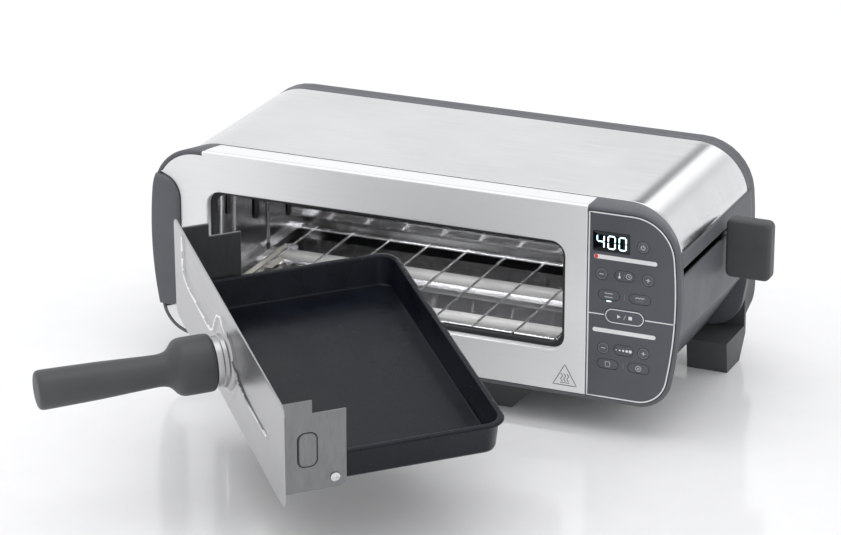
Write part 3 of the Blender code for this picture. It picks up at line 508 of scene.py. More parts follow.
def housing_skin():
    """The lower shell: the chamfered outline below the wrap, with the lever slot left open at the right."""
    _, right = cut_path(half_outline(0.0, 1.0, True), WRAP_SIDE_Z - 0.0006)
    heights = SLOT_Z
    for z in heights:
        upper, lower = cut_path(right, z)
        right = np.concatenate((upper, lower[1:]))
    path = np.concatenate((right, (right[:-1] * (-1, 1))[::-1]))
    ys = np.concatenate((np.linspace(SHELL_FRONT, SLOT_Y[0], 3), np.linspace(*SLOT_Y, 24)[1:],
                         np.linspace(SLOT_Y[1], SHELL_BACK, 14)[1:]))
    P = stack(path[:, None, 0], ys[None], path[:, None, 1])
    mid_z = (P[:-1, :-1, 2] + P[1:, :-1, 2]) / 2
    mid_y = (P[:-1, :-1, 1] + P[:-1, 1:, 1]) / 2
    level = (mid_z < heights[0]) & (mid_z > heights[1])
    slot = (P[:-1, :-1, 0] > 0) & level & (mid_y > SLOT_Y[0]) & (mid_y < SLOT_Y[1])
    piece("housing_skin", [quads(P, keep=~slot)], GREY_PLASTIC, "oven_body", ("lower_housing",),
          solid=0.0028, smooth=30)


def lip_top(x):
    """Height of the steel lip's top: the body's top, following the rounder corner behind the ring."""
    half = half_outline(0.0, 1.0)
    half = half[half[:, 1] > 0.12]
    return np.interp(np.abs(x), half[:, 0], half[:, 1])


def zone(loop):
    """Weights along the outline: 1 under the steel lip, and 1 behind the grip."""
    lip = (loop[:, 1] > BODY_H - 0.012) & (loop[:, 0] > LIP_X[0]) & (loop[:, 0] < LIP_X[1])
    grip = (loop[:, 0] < -0.2) & (loop[:, 1] > GRIP_Z[0] + 0.0015) & (loop[:, 1] < GRIP_Z[1] - 0.0015)
    return lip.astype(float)[:, None], grip.astype(float)[:, None]


def ring_skin():
    """The front ring: a closed rounded section carried round the outline, drawn in to the narrower shell
    at its rear edge, and let down under the lip and behind the grip."""
    rim = np.array([(0.0035, 0.0220), (0.0006, 0.0220), (0.0001, 0.0218), (0.0, 0.0213), (0.0, 0.0110),
                    (0.0, 0.0004), (0.0003, -0.0006), (0.0009, -0.0014), (0.0018, -0.0018),
                    (0.0031, -0.0018), (0.0035, -0.0015), (0.0035, 0.0004), (0.0035, 0.0110)])
    lip, grip = zone(outline(0.0))
    rows = []
    for inset, depth in rim:
        plain = outline(inset, float(np.clip((depth - 0.0004) / 0.0216, 0, 1)))
        under = outline(0.0018 + inset * 0.4857, 1.0)
        xz = plain * (1 - lip) + under * lip
        low = np.maximum(lip, grip)[:, 0]
        rows.append(stack(xz[:, 0], depth * (1 - low) + max(depth, 0.0008) * low, xz[:, 1]))
    piece("front_ring_skin", [quads(np.array(rows), wrap_u=True, wrap_v=True)], GREY_PLASTIC, "oven_body",
          ("front_bezel",), smooth=35)


def grip_edge(z, grow=0.0):
    """The grip's right edge against height: straight, with an elliptical turn at each end."""
    z0, z1 = GRIP_Z[0] - grow, GRIP_Z[1] + grow
    top = np.clip((z - (z1 - 0.022)) / 0.022, 0, 1)
    low = np.clip(((z0 + 0.008) - z) / 0.008, 0, 1)
    return GRIP_EDGE_X + grow - 0.0185 * (1 - np.sqrt(1 - top ** 2)) - 0.014 * (1 - np.sqrt(1 - low ** 2))


def ray_loop(loop, centre, angles):
    """Where rays from a centre meet a closed outline that goes once round it."""
    d = loop - centre
    a = np.arctan2(d[:, 1], d[:, 0])
    order = np.argsort(a)
    a, d = a[order], d[order]
    a = np.concatenate((a[-1:] - 2 * np.pi, a, a[:1] + 2 * np.pi))
    d = np.concatenate((d[-1:], d, d[:1]))
    k = np.clip(np.searchsorted(a, angles, side="right") - 1, 0, len(a) - 2)
    p, q = d[k], d[k + 1]
    e = q - p
    ray = np.stack((np.cos(angles), np.sin(angles)), -1)
    t = (p[:, 0] * e[:, 1] - p[:, 1] * e[:, 0]) / (ray[:, 0] * e[:, 1] - ray[:, 1] * e[:, 0] + 1e-15)
    return centre + ray * t[:, None]


def loop_angles(centre, *loops):
    every = np.concatenate([np.arctan2(lp[:, 1] - centre[1], lp[:, 0] - centre[0]) for lp in loops])
    return np.unique(np.round(every, 7))


def plate_outline():
    """The steel front's edge: the body outline, stopped at the control panel and following the grip."""
    loop = outline(0.0040)
    extra = np.stack((np.full(60, -0.236), np.linspace(GRIP_Z[1] + 0.002, GRIP_Z[0] - 0.002, 60)), -1)
    loop = loop.copy()
    behind = (loop[:, 0] < -0.2) & (loop[:, 1] < GRIP_Z[1] + 0.0008) & (loop[:, 1] > GRIP_Z[0] - 0.0008)
    extra[:, 0] = np.maximum(grip_edge(extra[:, 1], 0.0006), -0.2285)
    first = int(np.argmax(behind))
    last = len(behind) - int(np.argmax(behind[::-1]))
    loop = np.concatenate((loop[:first], extra[::-1], loop[last:]))
    loop[:, 0] = np.minimum(loop[:, 0], LIP_X[1])
    return loop


def front_plate_skin():
    """The steel front: rays from the window's middle, running from the outer edge over the face to the
    window edge and back along its flange. Along the top the outer edge rolls back into the lip."""
    centre = np.array((-0.024, 0.0858))
    outer, window = plate_outline(), rounded_loop(*WINDOW_X, *WINDOW_Z, WINDOW_R, 16)
    lip_ends = np.array([[LIP_X[0] - 1e-4, BODY_H - 0.004], [LIP_X[0] + 1e-4, BODY_H - 0.004]])
    angles = loop_angles(centre, outer, window, lip_ends)
    big, small = ray_loop(outer, centre, angles), ray_loop(window, centre, angles)
    across = (big[:, 0] > LIP_X[0]) & (big[:, 0] <= LIP_X[1] + 1e-6)
    lip = ((big[:, 1] > BODY_H - 0.0060) & across).astype(float)
    drop = (big - centre) / np.linalg.norm(big - centre, axis=1, keepdims=True)
    rows = []
    roll = [(0.0010, 0.0205), (0.0002, 0.0202), (0.0, 0.0196), (0.0, 0.0100), (0.0, 0.0016), (0.0012, 0.0015),
            (0.0012, 0.0007), (0.0, 0.0006), (0.0, 0.0002)]
    roll += [(0.0016 * (1 - math.cos(t)), 0.0002 - 0.0020 * math.sin(t)) for t in np.radians((18, 36, 54, 72,
                                                                                              90))]
    plain = [(0.0, y) for y in np.linspace(0.0, -0.0012, 9)] + [(0.0001, -0.0014), (0.0002, -0.0016),
                                                                (0.0004, -0.0017), (0.0006, -0.00178),
                                                                (0.0010, -0.0018)]
    for (ri, ry), (pi_, py) in zip(roll, plain):
        lifted = np.stack((big[:, 0], lip_top(big[:, 0]) - ri), -1)
        flat = big - drop * pi_
        xy = lifted * lip[:, None] + flat * (1 - lip[:, None])
        y = ry * lip + py * (1 - lip)
        rows.append(stack(xy[:, 0], y, xy[:, 1]))
    edge = rows[-1][:, (0, 2)]
    inner = small + (small - centre) / np.linalg.norm(small - centre, axis=1, keepdims=True) * 0.0012
    for t in (0.006, 0.02, 0.08, 0.2, 0.4, 0.6, 0.8, 0.95, 1.0):
        xy = edge * (1 - t) + inner * t
        rows.append(stack(xy[:, 0], -0.0018, xy[:, 1]))
    for grow, y in ((0.0007, -0.0017), (0.0003, -0.0014), (0.0001, -0.0009), (0.0, -0.0002), (0.0, 0.0060)):
        xy = small + (inner - small) * (grow / 0.0012)
        rows.append(stack(xy[:, 0], y, xy[:, 1]))
    piece("front_plate_skin", [quads(np.array(rows), wrap_v=True)], FRONT_STEEL, "oven_body",
          ("front_panel",), smooth=35)


def grip_skin():
    """The grip insert: its D-shaped outline drawn in row by row while the face rises to a soft crown."""
    z = np.linspace(GRIP_Z[0] + 0.0004, GRIP_Z[1] - 0.0004, 70)
    right = np.stack((np.maximum(grip_edge(z), -0.2284), z), -1)
    half = half_outline(0.0)
    side_z, side_x = half[::-1, 1], -half[::-1, 0]
    low = side_z > 0.001
    left = np.stack((np.interp(z, side_z[low], side_x[low]), z), -1)
    loop = np.concatenate((right, left[::-1]))
    middle = np.stack((loop[:, 0] * 0 - 0.2225, np.clip(loop[:, 1], GRIP_Z[0] + 0.02, GRIP_Z[1] - 0.02)), -1)
    rows = []
    for t, y in ((0.0, 0.0), (0.0, -0.0035), (0.03, -0.0048), (0.09, -0.0057), (0.2, -0.0062), (0.5, -0.0064),
                 (1.0, -0.0065)):
        xy = loop * (1 - t) + middle * t
        rows.append(stack(xy[:, 0], y, xy[:, 1]))
    rows.insert(0, stack(middle[:, 0], np.zeros(len(loop)), middle[:, 1]))
    piece("grip_skin", [quads(np.array(rows), wrap_v=True)], GREY_PLASTIC, "oven_body", ("left_grip",),
          smooth=30)


def seal_skin():
    """The black seal: a rounded ridge carried round the window, inside the steel flange."""
    rows = []
    for grow, y in ((0.0, 0.0075), (0.0, 0.0056), (0.0004, 0.0050), (0.0014, 0.0046), (0.0028, 0.0046),
                    (0.0038, 0.0050), (0.0044, 0.0058), (0.0046, 0.0068), (0.0046, 0.0075)):
        loop = rounded_loop(WINDOW_X[0] + grow, WINDOW_X[1] - grow, WINDOW_Z[0] + grow, WINDOW_Z[1] - grow,
                            max(WINDOW_R - grow * 0.6, 0.004), 16)
        rows.append(stack(loop[:, 0], y, loop[:, 1]))
    piece("window_seal_skin", [quads(np.array(rows), wrap_u=True, wrap_v=True)], SEAL_RUBBER, "oven_body",
          ("window_gasket",))


# ------------------------------------------------------------------ control panel
KEYS = {
    "button_power": (0.2038, 0.1383, 0.0095, 0.0095), "button_oven_minus": (0.1690, 0.1110, 0.0095, 0.0095),
    "button_temp_time": (0.1885, 0.1115, 0.0165, 0.0085),
    "button_oven_plus": (0.2087, 0.1109, 0.0095, 0.0095),
    "button_bake": (0.1755, 0.0935, 0.0180, 0.0080), "button_broil": (0.2020, 0.0935, 0.0180, 0.0080),
    "button_start_stop": (0.1893, 0.0763, 0.0335, 0.0125),
    "button_toast_minus": (0.1715, 0.0475, 0.0095, 0.0095),
    "button_shade": (0.1888, 0.0475, 0.0165, 0.0085), "button_toast_plus": (0.2060, 0.0475, 0.0095, 0.0095),
    "button_toast": (0.1755, 0.0340, 0.0180, 0.0080), "button_bagel": (0.2020, 0.0340, 0.0180, 0.0080),
}
FACE_Y = -0.0018
KEY_FACE_Y = -0.0021


def ribbon(loop, width, y, mat=0, closed=True):
    """A printed line: a flat band of the given width centred on a path, with a very thin edge."""
    loop = np.asarray(loop, float)
    d = (np.roll(loop, -1, 0) - np.roll(loop, 1, 0)) if closed else np.gradient(loop, axis=0)
    n = np.stack((-d[:, 1], d[:, 0]), -1)
    n /= np.linalg.norm(n, axis=1, keepdims=True)
    rows = []
    for side, depth in ((-0.5, 0.0), (-0.5, -PRINT_T), (0.5, -PRINT_T), (0.5, 0.0)):
        xy = loop + n * width * side
        rows.append(stack(xy[:, 0], y + depth, xy[:, 1]))
    P = np.array(rows)
    if not closed:
        P = np.concatenate((P[:, :1] * 0 + P[:, :1].mean(0), P, P[:, -1:] * 0 + P[:, -1:].mean(0)), 1)
    return quads(P, wrap_u=True, wrap_v=closed, mat=mat)


def patch(loop, y, mat=0):
    """A printed spot: an outline filled to its middle, with a very thin edge."""
    mid = loop.mean(0)
    steps = ((loop, y), (loop, y - PRINT_T), (mid + (loop - mid) * 1e-4, y - PRINT_T))
    rows = [stack(lp[:, 0], depth, lp[:, 1]) for lp, depth in steps]
    return quads(np.array(rows), wrap_v=True, mat=mat)


def pill_loop(cx, cz, w, h, n=9):
    return rounded_loop(cx - w / 2, cx + w / 2, cz - h / 2, cz + h / 2, h / 2 - 1e-6, n)


def line(points, n=2):
    """A polyline with n points on each run."""
    points = np.asarray(points, float)
    t = np.linspace(0, 1, n, endpoint=False)[:, None]
    runs = [a * (1 - t) + b * t for a, b in zip(points, points[1:])]
    return np.concatenate(runs + [points[-1:]])


def key_signs(name, cx, cz, w, h):
    """The generic sign on each key, as thin printed bands. Material 1 is white, 2 is grey."""
    y, t = KEY_FACE_Y, 0.00045
    if name == "button_power":
        a = arc(cx, cz - 0.0002, 0.0017, -235, 55, 20)
        stem = line(((cx, cz), (cx, cz + 0.0020)))
        halo = arc(cx, cz, 0.0042, 0, 350, 36)
        return [ribbon(a, t, y, 1, False), ribbon(stem, t, y, 1, False), ribbon(halo, 0.0003, y, 2)]
    if name.endswith("minus") or name.endswith("plus"):
        signs = [ribbon(line(((cx - 0.0018, cz), (cx + 0.0018, cz))), t, y, 1, False)]
        if name.endswith("plus"):
            signs.append(ribbon(line(((cx, cz - 0.0018), (cx, cz + 0.0018))), t, y - 0.00002, 1, False))
        return signs + [ribbon(arc(cx, cz, 0.0042, 0, 350, 36), 0.0003, y, 2)]
    if name == "button_start_stop":
        tri = np.array(((cx - 0.0062, cz - 0.0017), (cx - 0.0062, cz + 0.0017), (cx - 0.0034, cz)))
        square = rounded_loop(cx + 0.0034, cx + 0.0064, cz - 0.0015, cz + 0.0015, 0.0002, 2)
        bar = line(((cx - 0.0007, cz - 0.0018), (cx + 0.0009, cz + 0.0018)))
        rim = pill_loop(cx, cz, w - 0.0012, h - 0.0012)
        return [patch(tri, y, 1), patch(square, y, 1), ribbon(bar, 0.0003, y, 1, False),
                ribbon(rim, 0.0007, y, 1)]
    if name == "button_temp_time":
        bulb = arc(cx - 0.0042, cz - 0.0013, 0.0010, 0, 340, 14)
        stem = line(((cx - 0.0042, cz - 0.0004), (cx - 0.0042, cz + 0.0026)))
        clock = arc(cx + 0.0038, cz + 0.0003, 0.0021, 0, 348, 24)
        hands = line(((cx + 0.0038, cz + 0.0017), (cx + 0.0038, cz + 0.0003), (cx + 0.0048, cz - 0.0003)))
        slash = line(((cx - 0.0008, cz - 0.0018), (cx + 0.0006, cz + 0.0024)))
        return [patch(bulb, y, 1), ribbon(stem, 0.0005, y, 1, False), ribbon(clock, 0.0003, y, 1),
                ribbon(hands, 0.0003, y, 1, False), ribbon(slash, 0.0002, y, 2, False)]
    if name == "button_bake":
        return [ribbon(line(((cx - 0.0035, cz + s * 0.0016), (cx + 0.0035, cz + s * 0.0016))), 0.0004, y, 1,
                       False)
                for s in (1, -1)]
    if name == "button_broil":
        xs = np.linspace(-0.0038, 0.0038, 25)
        wave = np.stack((cx + xs, cz + 0.0012 + 0.0005 * np.sin(xs * 2600)), -1)
        return [ribbon(wave, 0.0004, y, 1, False),
                ribbon(line(((cx - 0.0035, cz - 0.0014), (cx + 0.0035, cz - 0.0014))), 0.0003, y, 2, False)]
    if name == "button_shade":
        sizes = [(k, 0.0005 + 0.00022 * (k + 2)) for k in (-2, -1, 0, 1, 2)]
        return [patch(arc(cx + k * 0.0030, cz, r, 0, 340, 14), y, 1) for k, r in sizes]
    if name == "button_toast":
        left, right = arc(cx - 0.0011, cz + 0.0010, 0.0010, 200, 80, 8), arc(cx + 0.0011, cz + 0.0010,
                                                                             0.0010, 100, -20, 8)
        foot = np.array(((cx + 0.0017, cz - 0.0022), (cx - 0.0017, cz - 0.0022)))
        bread = np.concatenate((left, right, foot))
        return [ribbon(bread, 0.0003, y, 1)]
    rings = (arc(cx, cz, 0.0022, 0, 348, 24), arc(cx, cz, 0.0008, 0, 340, 14))
    return [ribbon(ring, 0.0003, y, 1) for ring in rings]


def keys():
    """Each key is a pill whose face is rounded over at its edge, with its printed sign."""
    for name, (cx, cz, w, h) in KEYS.items():
        def loop_at(inset, cx=cx, cz=cz, w=w, h=h):
            return pill_loop(cx, cz, w - 2 * inset, h - 2 * inset)
        sections = [(0.0005, KEY_FACE_Y), (0.0002, KEY_FACE_Y + 0.0001), (0.0, KEY_FACE_Y + 0.0003),
                    (0.0, 0.0011)]
        piece(name.replace("button", "key"), [slab(loop_at, sections)] + key_signs(name, cx, cz, w, h),
              [PANEL_PLASTIC, PRINT_WHITE, PRINT_GREY], name, (name,))


SEGMENTS = {"4": "bcfg", "0": "abcdef"}


def digit(char, cx, cz, w, h, y):
    """One figure made of straight bars with pointed ends, on the seven places of a lit display."""
    x0, x1, z0, z1, zm = cx - w / 2, cx + w / 2, cz - h / 2, cz + h / 2, cz
    gap, half = 0.0003, 0.00055
    ends = {"a": ((x0, z1), (x1, z1)), "b": ((x1, z1), (x1, zm)), "c": ((x1, zm), (x1, z0)),
            "d": ((x0, z0), (x1, z0)), "e": ((x0, zm), (x0, z0)), "f": ((x0, z1), (x0, zm)),
            "g": ((x0, zm), (x1, zm))}
    out = []
    for seg in SEGMENTS[char]:
        a, b = (np.array(p) for p in ends[seg])
        d = (b - a) / np.linalg.norm(b - a)
        n = np.array((-d[1], d[0]))
        a, b = a + d * gap, b - d * gap
        bar = np.array((a, a + d * half + n * half, b - d * half + n * half, b, b - d * half - n * half,
                        a + d * half - n * half))
        out.append(patch(bar, y, 1))
    return out


def display():
    """The black lens with its edge rounded, and three lit figures just in front of it."""
    cx, cz, w, h = 0.1768, 0.1388, 0.0310, 0.0165

    def loop_at(inset):
        return rounded_loop(cx - w / 2 + inset, cx + w / 2 - inset, cz - h / 2 + inset, cz + h / 2 - inset,
                            0.0010, 5)
    surfaces = [slab(loop_at, [(0.0004, -0.0019), (0.0, -0.0016), (0.0, 0.0015)])]
    for k, char in enumerate("400"):
        surfaces += digit(char, cx - 0.0092 + k * 0.0094, cz - 0.0002, 0.0058, 0.0106, -0.0019)
    piece("display_window", surfaces, [DISPLAY_BLACK, DIGIT_GLOW], "oven_body", ("display_lens",))


def panel_print():
    """White outline, dividing line and label bars printed on the panel."""
    edge = outline(0.0047)
    edge = edge[edge[:, 0] > 0.158]
    edge = edge[np.argsort(-np.arctan2(edge[:, 1] - 0.0835, edge[:, 0] - 0.1581))]
    corners = line(((0.1578, 0.0047), (0.1578, BODY_H - 0.0047)), 12)
    surfaces = [ribbon(np.concatenate((edge, corners)), 0.0011, FACE_Y)]
    for a, b in ((0.1584, 0.1718), (0.2068, 0.2323)):
        surfaces.append(ribbon(line(((a, 0.0763), (b, 0.0763))), 0.0009, FACE_Y, 0, False))
    for z in (0.1256, 0.0626):
        surfaces.append(patch(pill_loop(0.1890, z, 0.0540, 0.0036), FACE_Y))
    surfaces.append(patch(arc(0.1640, 0.1256, 0.0017, 0, 345, 24), FACE_Y - 0.0001, 1))
    surfaces.append(patch(pill_loop(0.1755, 0.0884, 0.0042, 0.0009), FACE_Y, 2))
    for z in (0.0935, 0.0340):
        surfaces.append(ribbon(line(((0.1888, z - 0.0026), (0.1888, z + 0.0026))), 0.0003, FACE_Y, 3, False))
    piece("panel_print", surfaces, [PRINT_WHITE, PRINT_RED, LED_GLOW, PRINT_GREY], "oven_body")


def sign_bands(size, weight):
    """A plain triangle with three upright waves, drawn round its own middle."""
    tri = np.array(((-0.5, -0.44), (0.5, -0.44), (0.0, 0.44))) * size
    bands = [(line(np.concatenate((tri, tri[:1])), 8)[:-1], weight, True)]
    t = np.linspace(-1, 1, 15)
    for k in (-1, 0, 1):
        wave = np.stack((k * 0.13 + 0.035 * np.sin(t * 4.5), -0.12 + t * 0.17), -1) * size
        bands.append((wave, weight, False))
    bands.append((line(np.array(((-0.2, -0.34), (0.2, -0.34))) * size), weight * 0.8, False))
    return bands


def front_sign():
    at = np.array((0.1385, 0.0185))
    surfaces = [ribbon(b + at, w, FACE_Y, 0, c) for b, w, c in sign_bands(0.0205, 0.0007)]
    piece("front_sign", surfaces, [SIGN_GREY], "oven_body")


def top_sign():
    """The same sign laid on the wrap: its bands are drawn flat and turned to lie on the top."""
    def lay(points):
        flat = stack(points[..., 0] + 0.131, 0.052 + points[..., 2], BODY_H - 0.00005 - points[..., 1] * 0.5)
        return place(flat)
    surfaces = [ribbon(b, w, 0.0, 0, c) for b, w, c in sign_bands(0.0205, 0.0007)]
    piece("top_sign", surfaces, [SIGN_GREY], "oven_body", turn=lay)


# ------------------------------------------------------------------ inside
def wall(a, b, c, d, nu, nv, raise_fn=None, mat=0):
    """A flat wall between four corners, pushed along its normal by a function of its own two parameters."""
    a, b, c, d = (np.array(p, float) for p in (a, b, c, d))
    u, v = np.meshgrid(np.linspace(0, 1, nu), np.linspace(0, 1, nv), indexing="ij")
    u, v = u[..., None], v[..., None]
    P = (a * (1 - u) + b * u) * (1 - v) + (d * (1 - u) + c * u) * v
    if raise_fn is not None:
        n = np.cross(b - a, d - a)
        P = P + (n / np.linalg.norm(n)) * raise_fn(u, v)
    return quads(P, mat=mat)


def ridge(x, at, width, height):
    """A rounded rib: height at its middle, falling to nothing at half its width."""
    t = np.clip(np.abs(x - at) / (width / 2), 0, 1)
    return height * np.cos(t * np.pi / 2) ** 2


def cavity_skin():
    """The cavity box: five walls with pressed ribs, and flat near-black patches of painted shade where the
    left wall has slots and openings.
    """
    (x0, x1), (y0, y1), (z0, z1) = CAVITY_X, CAVITY_Y, CAVITY_Z

    def left_ribs(u, v):
        upright = ridge(u, 0.14, 0.035, 0.0024) + ridge(u, 0.27, 0.03, 0.0018) + ridge(u, 0.62, 0.03, 0.0018)
        return upright - ridge(v, 0.5, 0.5, 0.0006)

    def rear_ribs(u, v):
        broad = ridge(v, 0.30, 0.08, 0.0022) + ridge(v, 0.62, 0.08, 0.0022)
        return broad + ridge(v, 0.42, 0.05, 0.0014) + ridge(v, 0.80, 0.05, 0.0014)

    surfaces = [
        wall((x0, y0, z0), (x0, y1, z0), (x0, y1, z1), (x0, y0, z1), 120, 24, left_ribs),
        wall((x0, y1, z0), (x1, y1, z0), (x1, y1, z1), (x0, y1, z1), 40, 90, rear_ribs),
        wall((x0, y0, z0), (x1, y0, z0), (x1, y1, z0), (x0, y1, z0), 30, 30),
        wall((x0, y0, z1), (x0, y1, z1), (x1, y1, z1), (x1, y0, z1), 30, 30),
        wall((x1, y0, z0), (x1, y0, z1), (x1, y1, z1), (x1, y1, z0), 30, 30),
    ]
    # Flat near-black patches just inside the left wall: painted shade where the slots and openings are.
    dark = x0 + 0.0008
    for y, z, ry, rz in ((0.022, 0.112, 0.0032, 0.0120), (0.022, 0.078, 0.0032, 0.0130),
                         (0.046, 0.060, 0.0036, 0.0150), (0.046, 0.108, 0.0036, 0.0120),
                         (0.100, 0.090, 0.0050, 0.0150), (0.128, 0.108, 0.0130, 0.0060),
                         (0.128, 0.088, 0.0120, 0.0050), (0.165, 0.070, 0.0040, 0.0140)):
        loop = rounded_loop(y - ry, y + ry, z - rz, z + rz, min(ry, rz) * 0.98, 6)
        mid = loop.mean(0)
        rows = [stack(dark, lp[:, 0], lp[:, 1]) for lp in (loop, mid + (loop - mid) * 1e-4)]
        surfaces.append(quads(np.array(rows), wrap_v=True, mat=1))
    ob = piece("cavity_skin", surfaces, [CAVITY_STEEL, PAINTED_SHADE_BLACK], "oven_body", ("cavity_liner",),
               smooth=35)
    inward = bmesh.new()
    inward.from_mesh(ob.data)
    centre = place(np.array(((x0 + x1) / 2, (y0 + y1) / 2, (z0 + z1) / 2)))
    wrong = [f for f in inward.faces if f.normal.dot(Vector(centre) - f.calc_center_median()) < 0]
    bmesh.ops.reverse_faces(inward, faces=wrong)
    inward.to_mesh(ob.data)
    inward.free()


def guards():
    """Round rails along the cavity with straight cross wires laid just above them."""
    x0, x1 = -0.1820, 0.1360
    for level, z in zip(("lower", "upper"), GUARD_Z):
        surfaces = [tube(line(((x0, y, z), (x1, y, z)), 40), 0.0016, 12) for y in (0.0140, 0.1800)]
        n = int((x1 - x0 - 0.02) / 0.035)
        for i in range(n + 1):
            x = x0 + 0.012 + i * (x1 - x0 - 0.024) / n
            ys = np.linspace(0.0122, 0.1818, 40)
            surfaces.append(tube(stack(x, ys, z + 0.0008), 0.0011, 10))
        piece(level + "_guard_wires", surfaces, WIRE_STEEL, "oven_body", (level + "_guard",))


def heaters():
    """Quartz tubes, each with a coiled filament: a helix of radius 3 mm and pitch 3 mm inside the tube."""
    for level, z in zip(("lower", "upper"), TUBE_Z):
        for spot, y in zip(("front", "rear"), TUBE_Y):
            name = "heater_tube_%s_%s" % (level, spot)
            ends = [(-0.1826, 0.0), (-0.1826, TUBE_R * 0.9), (-0.1820, TUBE_R)]
            far_end = [(0.1360, TUBE_R), (0.1366, TUBE_R * 0.9), (0.1366, 0.0)]
            profile = ends + [(x, TUBE_R) for x in np.linspace(-0.17, 0.125, 12)] + far_end
            piece(name + "_glass", [turned(profile, (0, y, z), 0, 28)], QUARTZ, "oven_body", (name,))
            t = np.linspace(0, 1, 96 * 9)
            turn = t * 96 * 2 * np.pi
            coil = stack(-0.170 + t * 0.296, y + 0.0028 * np.cos(turn), z + 0.0028 * np.sin(turn))
            piece(name + "_filament", [tube(coil, 0.00045, 5)], FILAMENT, "oven_body")


# ------------------------------------------------------------------ lever
def lever_skin():
    """The paddle: a rounded slab with its edges rounded over."""
    lo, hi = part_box("lever_knob")
    x0, x1, z0, z1 = lo[0], hi[0], lo[2] - BASE_Z, hi[2] - BASE_Z
    y0, y1 = lo[1] - FRONT_Y, hi[1] - FRONT_Y

    def loop_at(inset):
        return rounded_loop(x0 + inset, x1 - inset, z0 + inset, z1 - inset, 0.0055 - inset * 0.6, 8)
    piece("lever_paddle", [slab(loop_at, round_edge(y0, y1, 0.0030, 7))], DARK_PLASTIC, "toast_lever",
          ("lever_knob",), smooth=50)


# ------------------------------------------------------------------ pan
def bead_path():
    """The pressed line on the door: down the far end, along the middle and over the handle's boss."""
    return np.array(((-0.1259, 0.0851), (-0.1264, 0.0700), (-0.1262, 0.0610), (-0.1246, 0.0550),
                     (-0.1208, 0.0507), (-0.1140, 0.0480), (-0.1051, 0.0467), (-0.0776, 0.0458),
                     (-0.0560, 0.0450), (-0.0440, 0.0455), (-0.0350, 0.0510), (-0.0300, 0.0610),
                     (-0.0230, 0.0700), (-0.0127, 0.0735), (0.0014, 0.0680), (0.0150, 0.0575),
                     (0.0260, 0.0474), (0.0340, 0.0422), (0.0536, 0.0400), (0.0816, 0.0396),
                     (0.1118, 0.0403)))


def distance_to(path, u, w):
    """Least distance from each point of a grid to a polyline."""
    best = np.full(u.shape, 1e9)
    for (ua, wa), (ub, wb) in zip(path, path[1:]):
        du, dw = ub - ua, wb - wa
        t = np.clip(((u - ua) * du + (w - wa) * dw) / (du * du + dw * dw + 1e-18), 0, 1)
        best = np.minimum(best, np.hypot(u - ua - t * du, w - wa - t * dw))
    return best


def door_skin():
    """The steel door: a sheet with rounded corners whose face rises in a pressed bead and a boss. The bead's
    top takes a much lighter material, a painted highlight.
    """
    half, r = DOOR_L / 2, 0.0085
    us = np.concatenate(([-half, -half + 0.0004], np.linspace(-half + 0.0015, half - 0.0015, 300),
                         [half - 0.0004, half]))
    over = np.clip(np.abs(us) - (half - r), 0, r)
    low = r - np.sqrt(np.maximum(r * r - over * over, 0))
    t = np.concatenate(([0, 0.004, 0.012], np.linspace(0.03, 0.97, 100), [0.988, 0.996, 1]))
    u = us[:, None] * np.ones((1, len(t)))
    w = low[:, None] + t[None] * (DOOR_H - 2 * low[:, None])
    bead = 0.0019 * np.exp(-(distance_to(bead_path(), u, w) / 0.0017) ** 2)
    boss = 0.0007 / (1 + np.exp((np.hypot(u, w - HANDLE_W) - 0.0300) / 0.0007))
    rim = np.minimum(np.minimum(u + half, half - u), np.minimum(w - low[:, None], DOOR_H - low[:, None] - w))
    edge = np.sqrt(np.clip(rim / 0.0006, 0, 1))
    front = -(DOOR_T / 2) - (DOOR_T / 2 + bead + boss) * edge
    back = -(DOOR_T / 2) + (DOOR_T / 2) * edge
    P = np.concatenate((stack(u, front, w), stack(u, back, w)[:, ::-1]), 1)
    points, faces, _ = quads(P, wrap_v=True)
    height = np.concatenate((bead, bead[:, ::-1] * 0), 1).ravel()[faces].min(1)
    # Faces high on the bead take the lighter material: a painted highlight along the bead.
    surfaces = [(points, faces[height <= 0.0008], 0), (points, faces[height > 0.0008], 1)]
    piece("door_sheet", surfaces, [DOOR_STEEL, BEAD_PAINTED_HIGHLIGHT], "pan", ("door_panel",),
          turn=place_pan, smooth=50)


